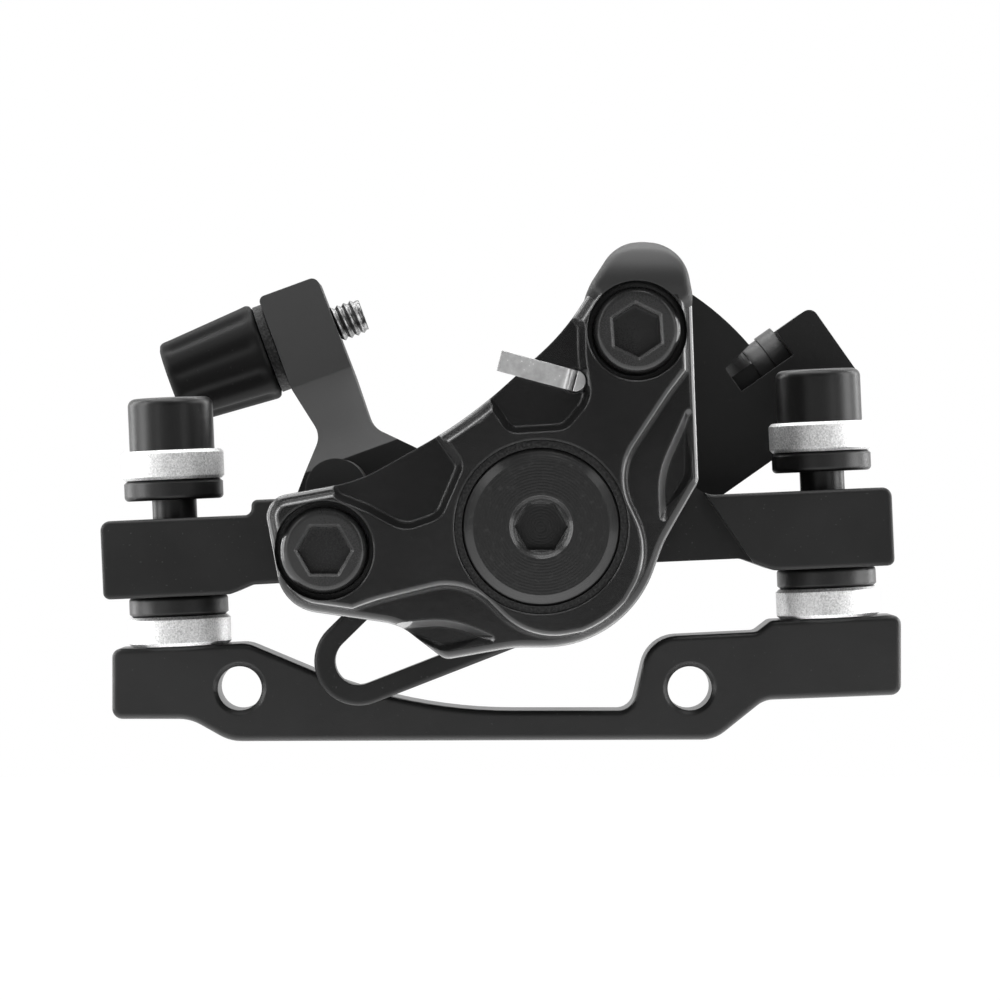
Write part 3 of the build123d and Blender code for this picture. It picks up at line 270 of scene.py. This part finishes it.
def behind_bracket(finish):
    """0 up to just before the bracket's seat face, at Y 0, and 1 a few millimetres behind it."""
    depth = finish.node("ShaderNodeSeparateXYZ", None, {0: object_place(finish)}, out=Y)
    return finish.span(depth, FADE_START * MM, FADE_END * MM)


PEEL_PER_MM, GRAIN_PER_MM, SPECKS_PER_MM, CLOUDS_PER_MM = 0.9, 7.0, 3.1, 0.11
SPECK_STOPS = [(0.73, 0.0), (0.80, 1.0)]
SPECK_SHARE, SPECK_GAIN = 0.22, 2.6
CLOUD_SPREAD = (0.14, 0.16)
CLOUD_GLOSS, GRAIN_GLOSS, BEHIND_ROUGHER = 0.12, 0.10, 0.25
COAT_ROUGHNESS = 0.12
# Grey of the painted highlight on the slopes that look right and down
PAINTED_HIGHLIGHT_GREY = 0.52
# A paler grey behind the bracket, darker on faces that look up: painted shade against the light from
# above
PAINTED_SHADE_STOPS = [(0.0, light_of(0.31)), (0.55, light_of(0.255))]


def cast_paint(
    name, level, rough, peel, grain, edge_mm=0.22, specular=0.5, paler_behind=0.0, coat=0.0, painted_highlight_share=0.0
):
    """Black paint over a casting: a soft orange peel, a fine grain and a few pale specks."""
    finish = Finish(name)
    peel_mask = noise(finish, PEEL_PER_MM, detail=2.0)
    grain_mask = noise(finish, GRAIN_PER_MM, detail=3.0, rough=0.6)
    specks = ramp(finish, noise(finish, SPECKS_PER_MM, detail=1.0, rough=0.4), SPECK_STOPS)
    clouds = noise(finish, CLOUDS_PER_MM, detail=3.0)
    darker, paler = CLOUD_SPREAD
    colour = finish.blend(clouds, grey(level * (1 - darker)), grey(level * (1 + paler)))
    colour = finish.blend(specks * SPECK_SHARE, colour, grey(min(1, level * SPECK_GAIN)))
    # Painted highlight: a paler grey on the slopes that look right and down
    if painted_highlight_share:
        colour = finish.blend(painted_highlight_mask(finish) * painted_highlight_share, colour, grey(PAINTED_HIGHLIGHT_GREY))
    gloss = rough + (clouds - 0.5) * CLOUD_GLOSS + (grain_mask - 0.5) * GRAIN_GLOSS
    if paler_behind:
        behind = behind_bracket(finish)
        # Painted shade: behind the bracket the paler grey is darker where the face looks up
        paler_with_painted_shade = ramp(finish, facing(finish, Z), PAINTED_SHADE_STOPS)
        colour = finish.blend(behind * paler_behind, colour, paler_with_painted_shade)
        gloss = gloss + behind * (BEHIND_ROUGHER * paler_behind)
    finish.shade(
        Base_Color=colour,
        Roughness=gloss,
        Specular_IOR_Level=specular,
        Coat_Weight=frontal(finish) * coat if coat else 0.0,
        Coat_Roughness=COAT_ROUGHNESS,
        Normal=bumped(finish, peel_mask * peel + grain_mask * grain, BUMP_DEPTH, edge_mm),
    )
    return finish.material


DARK_GRAIN, PALE_GRAIN, METAL_GLOSS = 0.32, 0.68, 0.2


def plain_metal(name, level, rough, grain_per_mm, grain, metallic=1.0, edge_mm=0.12, spread=0.2):
    """A metal whose grey and gloss vary with its grain."""
    finish = Finish(name)
    mask = noise(finish, grain_per_mm, detail=3.0, rough=0.6)
    low, high = level * (1 - spread), min(1.0, level * (1 + spread))
    finish.shade(
        Base_Color=ramp(finish, mask, [(DARK_GRAIN, light_of(low)), (PALE_GRAIN, light_of(high))]),
        Metallic=metallic,
        Roughness=rough + (mask - 0.5) * METAL_GLOSS,
        Normal=bumped(finish, mask * grain, BUMP_DEPTH, edge_mm),
    )
    return finish.material


paint = cast_paint(
    "black_paint",
    level=0.13,
    rough=0.18,
    peel=0.35,
    grain=0.12,
    edge_mm=0.4,
    specular=0.45,
    coat=0.8,
    # painted highlight on the slopes that look right and down
    painted_highlight_share=0.8,
)
# The nose is the body's black paint in a paler grey: a painted highlight on its rolled top
nose_painted_highlight = cast_paint("nose_painted_highlight", level=0.18, rough=0.50, peel=0.2, grain=0.1, specular=0.45)
# The outer half takes a paler grey behind the bracket, with painted shade on the faces that look up
housing_paint = cast_paint(
    "housing_paint", level=0.185, rough=0.38, peel=0.4, grain=0.25, specular=0.2, paler_behind=0.9
)
bracket_paint = cast_paint(
    "bracket_paint", level=0.15, rough=0.34, peel=0.3, grain=0.35, edge_mm=0.3
)
arm_paint = cast_paint("arm_paint", level=0.095, rough=0.42, peel=0.5, grain=0.4, specular=0.4)
post_black = cast_paint(
    "black_post_screw", level=0.12, rough=0.34, peel=0.2, grain=0.3, edge_mm=0.2, specular=0.4
)
screw_black = cast_paint(
    "black_body_screw", level=0.21, rough=0.28, peel=0.2, grain=0.3, edge_mm=0.25, coat=0.6
)
washer_black = cast_paint(
    "black_washer", level=0.09, rough=0.34, peel=0.3, grain=0.8, edge_mm=0.2
)
zinc = plain_metal(
    "grainy_zinc", level=0.90, rough=0.48, grain_per_mm=5.0, grain=0.9, metallic=0.8, spread=0.16
)
bright_steel = plain_metal(
    "bright_steel",
    level=0.86,
    rough=0.24,
    grain_per_mm=1.5,
    grain=0.05,
    metallic=0.45,
    spread=0.05,
)
dark_steel = plain_metal("dark_steel", level=0.52, rough=0.34, grain_per_mm=3.0, grain=0.2)
spring_steel = plain_metal("spring_steel", level=0.60, rough=0.30, grain_per_mm=4.0, grain=0.2)
bronze = plain_metal("bush_bronze", level=0.55, rough=0.42, grain_per_mm=4.0, grain=0.3)
print("finishes:", len(bpy.data.materials))

# %% [markdown]
# The pad adjuster is a turned black disc. Its face carries faint rings from the lathe, centred on
# the cam's axis, and small scuffs from the key. The rings come from the distance to that axis,
# worked out with Vector Math, so they stay on the part from every side.

# %% Turned black face and matt rubber
CAM_AXIS = Vector((8.49, 0.0, 18.41)) * MM
ACROSS_AXIS = (1, 0, 1)
SCUFFS_PER_MM, SCUFF_STOPS = 1.3, [(0.56, 0.0), (0.72, 1.0)]
SCUFF_SHARE, SCUFF_GAIN, SCUFF_ROUGHER = 0.4, 1.8, 0.15
RING_BUMP, PITS_PER_MM, PIT_BUMP = 0.12, 5.0, 0.4


def turned_black(name, level, rough, rings_per_mm):
    """Black steel with fine lathe rings round the cam's axis and pale scuffs."""
    finish = Finish(name)
    shifted = finish.node(
        "ShaderNodeVectorMath",
        {"operation": "SUBTRACT"},
        {0: object_place(finish), 1: CAM_AXIS},
    )
    flat = finish.node(
        "ShaderNodeVectorMath", {"operation": "MULTIPLY"}, {0: shifted, 1: ACROSS_AXIS}
    )
    radius = finish.node("ShaderNodeVectorMath", {"operation": "LENGTH"}, {0: flat}, out="Value")
    rings = radius * (rings_per_mm / MM * 2 * math.pi)
    wave = rings.maths("SINE", rings)
    scuff = ramp(finish, noise(finish, SCUFFS_PER_MM, detail=4.0, rough=0.65), SCUFF_STOPS)
    bumps = wave * RING_BUMP + noise(finish, PITS_PER_MM, detail=2.0) * PIT_BUMP
    finish.shade(
        Base_Color=finish.blend(scuff * SCUFF_SHARE, grey(level), grey(level * SCUFF_GAIN)),
        Roughness=rough + scuff * SCUFF_ROUGHER,
        Specular_IOR_Level=0.5,
        Coat_Weight=0.6,
        Coat_Roughness=0.15,
        Normal=bumped(finish, bumps, depth_mm=0.02, radius_mm=0.25),
    )
    return finish.material


CELLS_PER_MM, MOTTLE_PER_MM = 2.6, 4.0
MOTTLE_START, MOTTLE_END, MOTTLE_LIGHT = 0.4, 0.75, 0.04


def rubber(name, level):
    """Matt rubber with a small cell pattern."""
    finish = Finish(name)
    cells = finish.node(
        "ShaderNodeTexVoronoi",
        {"feature": "F1"},
        {"Vector": object_place(finish), "Scale": CELLS_PER_MM / MM},
        out="Distance",
    )
    stops = [(MOTTLE_START, light_of(level)), (MOTTLE_END, MOTTLE_LIGHT)]
    finish.shade(
        Base_Color=ramp(finish, noise(finish, MOTTLE_PER_MM, detail=2.0), stops),
        Roughness=0.62,
        Specular_IOR_Level=0.3,
        Normal=bumped(finish, cells, depth_mm=0.06, radius_mm=0.1),
    )
    return finish.material


adjuster_black = turned_black("turned_black", level=0.12, rough=0.30, rings_per_mm=3.0)
knob_black = cast_paint(
    "knob_black", level=0.115, rough=0.55, peel=0.3, grain=0.3, edge_mm=0.15, specular=0.12
)
seal_rubber = rubber("seal_rubber", level=0.10)
lining_grit = plain_metal(
    "lining_grit", level=0.26, rough=0.85, grain_per_mm=3.5, grain=1.0, metallic=0.0, spread=0.35
)
print("finishes:", len(bpy.data.materials))

# %% [markdown]
# Painting the CAD parts
#
# Most of the solids already have their final shape. Each gets its finish in its one
# material slot, and the mesh is never touched.

# %% Give each CAD node its finish
wears = {
    paint: ["inner_housing"],
    housing_paint: ["outer_housing"],
    bracket_paint: ["mount_bracket"],
    arm_paint: ["actuating_arm"],
    post_black: ["post_bolts", "arm_bolt", "pinch_bolt"],
    screw_black: ["body_bolts"],
    washer_black: ["ball_washers", "pinch_washer", "pinch_cup"],
    zinc: ["cup_washers", "arm_washer"],
    bright_steel: ["split_pin", "cam_balls"],
    dark_steel: ["cam_spindle", "cam_race", "inner_pad_plate", "outer_pad_plate"],
    spring_steel: ["pad_spring", "return_spring"],
    bronze: ["shaft_bush"],
    adjuster_black: ["pad_adjuster", "piston"],
    seal_rubber: ["adjuster_seal", "shaft_seal", "barrel_ring"],
    lining_grit: ["inner_pad_lining", "outer_pad_lining"],
}
for finish, names in wears.items():
    for name in names:
        node = frame["nodes"][name]
        node.data.materials.clear()
        node.data.materials.append(finish)
painted = {name for names in wears.values() for name in names}
print("still in CAD grey:", sorted(set(frame["nodes"]) - painted))

# %% [markdown]
# The barrel adjuster
#
# The real knob is a tapered aluminium barrel with long finger flutes, and behind it comes a fine
# thread that the cable runs through. Both follow a rule: the radius depends only on the angle and
# the place along the axis. So Geometry Nodes bend a plain grid round the axis and set each point's
# radius from that rule. Each tree has named inputs, so the same knob can be made coarser or longer.


# %% Geometry Nodes maths in the same style
class Field(Operators):
    """A field in a Geometry Nodes tree."""

    def __init__(self, tree, socket):
        self.tree = tree
        self.socket = socket

    def maths(self, operation, *values):
        made = self.tree.nodes.new("ShaderNodeMath")
        made.operation = operation
        for place, value in enumerate(values):
            if isinstance(value, Field):
                self.tree.links.new(value.socket, made.inputs[place])
            else:
                made.inputs[place].default_value = value
        return Field(self.tree, made.outputs[0])


class Tree:
    """A Geometry Nodes tree with named inputs, built step by step."""

    def __init__(self, name, **inputs):
        self.group = bpy.data.node_groups.new(name, "GeometryNodeTree")
        face = self.group.interface
        self.ids = {}
        for key, value in inputs.items():
            kind = "NodeSocketInt" if isinstance(value, int) else "NodeSocketFloat"
            item = face.new_socket(key, in_out="INPUT", socket_type=kind)
            item.default_value = value
            self.ids[key] = item.identifier
        face.new_socket("Mesh", in_out="OUTPUT", socket_type="NodeSocketGeometry")
        self.entry = self.group.nodes.new("NodeGroupInput")
        self.exit = self.group.nodes.new("NodeGroupOutput")

    def value(self, name):
        return Field(self.group, self.entry.outputs[name])

    def node(self, kind, settings=None, values=None, out=0):
        made = self.group.nodes.new(kind)
        for key, value in (settings or {}).items():
            setattr(made, key, value)
        for key, value in (values or {}).items():
            if isinstance(value, Field):
                self.group.links.new(value.socket, made.inputs[key])
            else:
                made.inputs[key].default_value = value
        return Field(self.group, made.outputs[out])

    def close(self, mesh, material):
        """Realize Instances and Set Material end the tree, as the export needs."""
        real = self.node("GeometryNodeRealizeInstances", None, {0: mesh})
        done = self.node("GeometryNodeSetMaterial", None, {0: real, "Material": material})
        self.group.links.new(done.socket, self.exit.inputs[0])


def turned_piece(tree, name, **inputs):
    """Runs a tree once and returns its result as a plain mesh."""
    seed = bpy.data.objects.new(name + "_seed", bpy.data.meshes.new(name + "_seed"))
    bpy.context.scene.collection.objects.link(seed)
    modifier = seed.modifiers.new("nodes", "NODES")
    modifier.node_group = tree.group
    for key, value in inputs.items():
        modifier[tree.ids[key]] = value
    bpy.context.view_layer.update()
    evaluated = seed.evaluated_get(bpy.context.evaluated_depsgraph_get())
    mesh = bpy.data.meshes.new_from_object(evaluated)
    bpy.data.objects.remove(seed)
    return mesh


print("tree tools ready")

# %% [markdown]
# Both surfaces are a grid whose first direction is the angle and whose second is the length. The
# Combine node turns angle, radius and length into a point. The knob's radius drops in each flute
# by a power of a raised cosine, which fades towards the ends, and the ends round off. The thread's
# radius is a triangle wave of length and angle together, which is what a helix is.


# %% The two rules
TURN = 2 * math.pi
KNOB_LENGTH, FLUTES, FLUTE_SHARPNESS = 11.9, 9, 2.2
STUD_LENGTH, STUD_R, THREAD_PITCH = 12.2, 2.15, 0.8
TIP_FADE = 0.8
# Whole turns added so that the fraction is taken of a positive number
TURNS_AHEAD = 100.0


def round_grid(tree, around, along):
    """A grid, with each point's angle and its share along the length."""
    values = {"Size X": 1.0, "Size Y": 1.0, "Vertices X": around, "Vertices Y": along}
    grid = tree.node("GeometryNodeMeshGrid", None, values)
    place = tree.node("GeometryNodeInputPosition")
    x = tree.node("ShaderNodeSeparateXYZ", None, {0: place}, out=0)
    y = tree.node("ShaderNodeSeparateXYZ", None, {0: place}, out=1)
    return grid, (x + 0.5) * TURN, y + 0.5


def bend(tree, grid, angle, radius, length):
    """Puts each point of the grid at its angle, radius and length, and shades it smooth."""
    across, up = radius * angle.maths("COSINE", angle), radius * angle.maths("SINE", angle)
    point = tree.node("ShaderNodeCombineXYZ", None, {0: across, 1: up, 2: length})
    moved = tree.node("GeometryNodeSetPosition", None, {0: grid, "Position": point})
    return tree.node("GeometryNodeSetShadeSmooth", None, {0: moved, "Shade Smooth": True})


knob_tree = Tree(
    "fluted_knob",
    Small_radius=5.03,
    Large_radius=5.9,
    Length=KNOB_LENGTH,
    Flutes=FLUTES,
    Flute_depth=0.42,
    Fade=1.6,
    Round=0.8,
    Around=241,
    Along=61,
)
grid, angle, share = round_grid(knob_tree, knob_tree.value("Around"), knob_tree.value("Along"))
length = knob_tree.value("Length")
cone = knob_tree.value("Small_radius") + (
    knob_tree.value("Large_radius") - knob_tree.value("Small_radius")
) * share
wave = angle.maths("COSINE", angle * knob_tree.value("Flutes"))
raised = wave.maths("MAXIMUM", wave * 0.5 + 0.5, 0.0)
flute = raised.maths("POWER", raised, FLUTE_SHARPNESS)
from_low = share * length
from_high = length - from_low
end_distance = from_low.maths("MINIMUM", from_low, from_high)
inside = from_low.maths("MINIMUM", end_distance / knob_tree.value("Round"), 1.0)
fading = from_low.maths("MINIMUM", end_distance / knob_tree.value("Fade"), 1.0)
drop = 1.0 - inside
rounding = knob_tree.value("Round") * (1.0 - drop.maths("SQRT", 1.0 - drop * drop))
radius = cone - flute * fading * knob_tree.value("Flute_depth") - rounding
knob_tree.close(
    bend(knob_tree, grid, angle, radius * MM, (share * length - length) * MM), knob_black
)

thread_tree = Tree(
    "threaded_stud",
    Radius=STUD_R,
    Depth=0.34,
    Pitch=THREAD_PITCH,
    Length=STUD_LENGTH,
    Around=49,
    Along=241,
)
grid, angle, share = round_grid(thread_tree, thread_tree.value("Around"), thread_tree.value("Along"))
run = thread_tree.value("Length") * share
turns = run / thread_tree.value("Pitch") - angle * (1 / TURN)
fraction = turns.maths("FRACT", turns + TURNS_AHEAD)
ridge = fraction.maths("ABSOLUTE", fraction * 2.0 - 1.0)
tip = fraction.maths("MINIMUM", (1.0 - share) * thread_tree.value("Length") / TIP_FADE, 1.0)
radius = thread_tree.value("Radius") - thread_tree.value("Depth") * (1.0 - ridge * tip)
thread_tree.close(bend(thread_tree, grid, angle, radius * MM, run * MM), dark_steel)
print("trees:", [group.name for group in bpy.data.node_groups])

# %% [markdown]
# The two skins are open tubes. A few plain rings close them: the knob's end faces, the housing
# socket and the cable hole. The finished barrel then takes the place of the CAD node, at the same
# spot and within 0.3 mm of the same size, and it rides on the same body.


# %% Build the barrel and put it on its axis
BARREL_TILT = math.radians(20.1)
BARREL_PLACE = Vector((-23.6, 15.6, 39.1)) * MM


def barrel_matrix():
    """From the barrel's own frame, with Z along its axis, to the part's frame."""
    along = Vector((math.cos(BARREL_TILT), 0, math.sin(BARREL_TILT)))
    side = Vector((-math.sin(BARREL_TILT), 0, math.cos(BARREL_TILT)))
    across = along.cross(side)
    turn = Matrix((side, across, along)).transposed().to_4x4()
    return Matrix.Translation(BARREL_PLACE) @ turn


def lathe_mesh(profile, segments=96):
    """Rings round Z from a list of (radius, height) points in millimetres, joined in order."""
    shape = bmesh.new()
    rings = []
    for reach, height in profile:
        ring = []
        for step in range(segments):
            turn = TURN * step / segments
            point = Vector((reach * math.cos(turn), reach * math.sin(turn), height)) * MM
            ring.append(shape.verts.new(point))
        rings.append(ring)
    for low, high in zip(rings, rings[1:]):
        for step in range(segments):
            after = (step + 1) % segments
            shape.faces.new((low[step], low[after], high[after], high[step]))
    mesh = bpy.data.meshes.new("turned")
    shape.to_mesh(mesh)
    shape.free()
    return mesh


MERGE_MM = 0.01


def joined(name, meshes, material):
    """One object from several meshes, with doubles merged and faces turned outwards."""
    shape = bmesh.new()
    for mesh in meshes:
        shape.from_mesh(mesh)
    bmesh.ops.remove_doubles(shape, verts=shape.verts, dist=MERGE_MM * MM)
    bmesh.ops.recalc_face_normals(shape, faces=shape.faces)
    mesh = bpy.data.meshes.new(name)
    shape.to_mesh(mesh)
    shape.free()
    mesh.materials.append(material)
    piece = bpy.data.objects.new(name, mesh)
    bpy.context.scene.collection.objects.link(piece)
    return piece


def smooth(piece):
    for face in piece.data.polygons:
        face.use_smooth = True


CABLE_R, SOCKET_R, SOCKET_DEPTH = 1.1, 2.6, 8.0
KNOB_LIP_R, KNOB_BACK_R, STUD_NECK_R, STUD_TIP_R = 4.3, 5.2, 1.7, 1.85
knob_skin = turned_piece(knob_tree, "knob", Flutes=FLUTES)
stud_skin = turned_piece(thread_tree, "stud", Pitch=THREAD_PITCH)
print("knob faces:", len(knob_skin.polygons), "stud faces:", len(stud_skin.polygons))
knob_inside = lathe_mesh(
    [
        (KNOB_LIP_R, -KNOB_LENGTH),
        (SOCKET_R, -KNOB_LENGTH),
        (SOCKET_R, SOCKET_DEPTH - KNOB_LENGTH),
        (CABLE_R, SOCKET_DEPTH - KNOB_LENGTH),
        (CABLE_R, 0.0),
    ]
)
stud_bore = lathe_mesh([(CABLE_R, 0.0), (CABLE_R, STUD_LENGTH)])
knob_back = lathe_mesh([(KNOB_BACK_R, 0.0), (STUD_NECK_R, 0.0)])
stud_end = lathe_mesh([(STUD_TIP_R, STUD_LENGTH), (CABLE_R, STUD_LENGTH)])
knob = joined("barrel_knob", [knob_skin, knob_inside, knob_back], knob_black)
stud = joined("barrel_stud", [stud_skin, stud_bore, stud_end], dark_steel)
for piece, slot in ((knob, "dark_aluminium"), (stud, "dark_steel")):
    piece.data.transform(barrel_matrix())
    smooth(piece)
    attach(piece, "barrel")
    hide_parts("barrel_adjuster")
    print(piece.name, "triangles:", sum(len(face.vertices) - 2 for face in piece.data.polygons))

# %% [markdown]
# The upper boss's nose
#
# In the photograph the boss over the upper body bolt rises in a narrow round nose that rolls back
# from the counterbore. It is fitted over the solid as a shell of rays from the bolt's axis. Each
# ray runs from the counterbore's edge over the rolled front to the nose's outline, then back along
# the side to the rear face. At both ends the shell sinks into the solid, so that little of its
# border shows.

# %% The nose's outline and front, in millimetres
BOLT_AXIS = (18.94, 39.82)
ROUND_MIDDLE, ROUND = (19.7, 44.75), 5.03
LEFT_WAY, RIGHT_WAY = math.radians(147.4), math.radians(10.5)
FACE_DEPTH, ROLL, ROLL_START, EDGE_ROUND = 29.98, 5.2, 44.5, 1.0
HALF_JOINT, WALL_STEP, BACK_DEPTH = 16.5, 0.6, 2.97
SEARCH_REACH, SEARCH_STEPS = 14.0, 30


def outside(x, z):
    """Distance from the outline: a circle at the top, its two tangents below."""
    across, up = x - ROUND_MIDDLE[0], z - ROUND_MIDDLE[1]
    if RIGHT_WAY < math.atan2(up, across) < LEFT_WAY:
        return math.hypot(across, up) - ROUND
    ways = [across * math.cos(way) + up * math.sin(way) for way in (LEFT_WAY, RIGHT_WAY)]
    return max(ways) - ROUND


def outline_reach(angle):
    """The outline's distance from the bolt's axis in a direction, by halving."""
    low, high = 0.0, SEARCH_REACH
    for _ in range(SEARCH_STEPS):
        middle = (low + high) / 2
        x = BOLT_AXIS[0] + middle * math.cos(angle)
        z = BOLT_AXIS[1] + middle * math.sin(angle)
        low, high = (low, middle) if outside(x, z) > 0 else (middle, high)
    return low


def front_depth(angle, reach, edge):
    """The rolled front's depth, with its outer edge rounded."""
    above = max(0.0, BOLT_AXIS[1] + reach * math.sin(angle) - ROLL_START)
    rolled = FACE_DEPTH - ROLL + math.sqrt(max(0.0, ROLL**2 - above**2))
    near = max(0.0, EDGE_ROUND - (edge - reach))
    return rolled - (EDGE_ROUND - math.sqrt(max(0.0, EDGE_ROUND**2 - near**2)))


print("outline over the bolt:", round(outline_reach(math.pi / 2), 2), "mm")

# %% Build the shell
HOLE_RIM, BACK_HOLE, LIP = 5.46, 3.6, 1.5
FIRST_RAY, LAST_RAY, RAYS = 22.0, 146.0, 94
FACE_STEPS = 14
SINK_SHARE, SINK_SIDE, SINK_FRONT = 0.12, 0.35, 2.4
SHARP_ANGLE = math.radians(35)


def nose_point(angle, reach, depth):
    x = BOLT_AXIS[0] + reach * math.cos(angle)
    z = BOLT_AXIS[1] + reach * math.sin(angle)
    return Vector((x, -depth, z)) * MM


points, faces = [], []
for ray in range(RAYS + 1):
    share = ray / RAYS
    angle = math.radians(FIRST_RAY + (LAST_RAY - FIRST_RAY) * share)
    sink = max(0.0, 1.0 - min(share, 1.0 - share) / SINK_SHARE) ** 2
    edge = outline_reach(angle) - SINK_SIDE * sink
    profile = [(HOLE_RIM, front_depth(angle, HOLE_RIM, edge) - LIP)]
    for step in range(FACE_STEPS + 1):
        reach = HOLE_RIM + (edge - HOLE_RIM) * math.sin(math.pi / 2 * step / FACE_STEPS)
        profile.append((reach, front_depth(angle, reach, edge)))
    profile = [(reach, depth - SINK_FRONT * sink) for reach, depth in profile]
    profile += [
        (edge, HALF_JOINT),
        (edge - WALL_STEP, HALF_JOINT),
        (edge - WALL_STEP, BACK_DEPTH),
        (BACK_HOLE, BACK_DEPTH),
    ]
    points += [nose_point(angle, reach, depth) for reach, depth in profile]
row = len(profile)
for ray in range(RAYS):
    for step in range(row - 1):
        here = ray * row + step
        faces.append((here, here + 1, here + row + 1, here + row))
nose_mesh = bpy.data.meshes.new("boss_nose")
nose_mesh.from_pydata(points, [], faces)
nose = joined("boss_nose", [nose_mesh], nose_painted_highlight)
smooth(nose)
nose.data.set_sharp_from_angle(angle=SHARP_ANGLE)
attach(nose, "caliper")
print("nose faces:", len(nose.data.polygons))

# %% [markdown]
# Studio
#
# The photograph is a catalogue picture: a black part on pure white, lit from large soft boxes.
# The floor is a wide pale plane well below the part. The world is white to the camera and in
# reflections from behind, and dim in front, so that flat black faces stay dark while edges catch
# the boxes. Light Path does this without putting more light on the object.


# %% Floor and world
WORLD_LEVEL, FRONT_REFLECTION = 0.25, 0.10
DIM_UP_TO, WHITE_FROM = -0.75, -0.05
FLOOR_REACH, FLOOR_HEIGHT, FLOOR_GREY, FLOOR_GLOW = 6.0, -0.36, 0.97, 0.8
BLACK, WHITE = (0, 0, 0, 1), (1, 1, 1, 1)


def pale_floor():
    mesh = bpy.data.meshes.new("floor")
    reach, height = FLOOR_REACH, FLOOR_HEIGHT
    corners = [(-reach, -reach), (reach, -reach), (reach, reach), (-reach, reach)]
    mesh.from_pydata([(x, y, height) for x, y in corners], [], [(0, 1, 2, 3)])
    floor = bpy.data.objects.new("floor", mesh)
    bpy.context.scene.collection.objects.link(floor)
    finish = Finish("pale_floor")
    finish.shade(Base_Color=grey(FLOOR_GREY), Roughness=0.9, Specular_IOR_Level=0.0)
    glow = finish.node("ShaderNodeLightPath", out="Is Camera Ray")
    gloss = finish.node("ShaderNodeLightPath", out="Is Glossy Ray")
    through = finish.node("ShaderNodeLightPath", out="Is Transmission Ray")
    glowing = finish.blend(glow + gloss + through, BLACK, WHITE)
    finish.shade(Emission_Color=glowing, Emission_Strength=FLOOR_GLOW)
    mesh.materials.append(finish.material)


def studio_world():
    world = bpy.data.worlds.new("studio")
    bpy.context.scene.world = world
    world.use_nodes = True
    sky = ShaderTree(world.node_tree)
    output = sky.tree.nodes.new("ShaderNodeOutputWorld")
    background = sky.tree.nodes.new("ShaderNodeBackground")
    sky.tree.links.new(background.outputs[0], output.inputs[0])
    camera = sky.node("ShaderNodeLightPath", out="Is Camera Ray")
    gloss = sky.node("ShaderNodeLightPath", out="Is Glossy Ray")
    through = sky.node("ShaderNodeLightPath", out="Is Transmission Ray")
    way = sky.node("ShaderNodeTexCoord", out="Generated")
    depth = sky.node("ShaderNodeSeparateXYZ", None, {0: way}, out=Y)
    behind = sky.span(depth, DIM_UP_TO, WHITE_FROM, "SMOOTHSTEP")
    seen = camera + (1 - camera) * (gloss + through) * behind
    level = WORLD_LEVEL - gloss * (WORLD_LEVEL - FRONT_REFLECTION)
    strength = level + seen * (1 - level)
    sky.put(background.inputs["Strength"], strength)
    sky.put(background.inputs["Color"], WHITE)


pale_floor()
studio_world()
print("floor and world ready")

# %% [markdown]
# Soft boxes give the long pale streaks on rounded edges. Four stand round the part, four stand
# behind it and draw the lines along its rim, and two weak ones stand in front. Each row gives a
# box's name, its place and size in metres and its power in watts.


# %% Soft boxes
def soft_box(name, place, target, size, power):
    light = bpy.data.lights.new(name, "AREA")
    light.shape = "RECTANGLE"
    light.size, light.size_y = size
    light.energy = power
    box = bpy.data.objects.new(name + "_box", light)
    box.location = Vector(place)
    box.rotation_mode = "QUATERNION"
    box.rotation_quaternion = (Vector(target) - Vector(place)).to_track_quat("-Z", "Y")
    bpy.context.scene.collection.objects.link(box)


MIDDLE = (0.004, -0.010, 0.021)
BOXES = [
    ("top", (-0.05, -0.12, 0.50), (0.60, 0.26), 1.7),
    ("left", (-0.50, -0.10, 0.14), (0.20, 0.50), 1.6),
    ("right", (0.50, -0.08, 0.10), (0.20, 0.50), 1.5),
    ("low", (0.02, -0.08, -0.30), (0.50, 0.20), 0.25),
    ("rim_left", (-0.43, 0.25, 0.15), (0.10, 0.50), 1.0),
    ("rim_right", (0.43, 0.25, 0.12), (0.10, 0.50), 1.0),
    ("rim_top", (0.00, 0.24, 0.42), (0.60, 0.10), 1.1),
    ("rim_low", (0.05, 0.16, -0.28), (0.50, 0.10), 0.2),
    ("front_left", (-0.34, -0.50, 0.20), (0.10, 0.50), 0.3),
    ("front_right", (0.36, -0.48, 0.12), (0.10, 0.50), 0.25),
]
for name, place, size, power in BOXES:
    soft_box(name, place, MIDDLE, size, power)
print("lamps:", [light.name for light in bpy.data.lights])

# %% [markdown]
# Camera
#
# The photograph looks straight at the wheel side. Two standard spacings, 51 mm between the frame
# holes and 74 mm between the post bolts, give its scale in pixels a millimetre. The focal length
# follows from that scale and the camera's distance.

# %% Camera at the photograph's place
CAMERA_DISTANCE = 540.0
CAMERA_SIDE, BRACKET_FACE, CAMERA_HEIGHT = 4.0, -9.0, 21.35
SCALE_AT_BRACKET, PICTURE_WIDTH = 8.83, 1000
SENSOR = 36.0
camera_data = bpy.data.cameras.new("camera")
camera_data.sensor_width = SENSOR
camera_data.lens = SCALE_AT_BRACKET * CAMERA_DISTANCE / PICTURE_WIDTH * SENSOR
camera_data.clip_start = 0.01
camera = bpy.data.objects.new("camera", camera_data)
camera.location = Vector((CAMERA_SIDE, BRACKET_FACE - CAMERA_DISTANCE, CAMERA_HEIGHT)) * MM
camera.rotation_euler = (math.radians(90), 0, 0)
bpy.context.scene.collection.objects.link(camera)
bpy.context.scene.camera = camera
bpy.context.scene.view_settings.view_transform = "Standard"
print("lens:", round(camera_data.lens, 1))

# %% End
print("scene built")
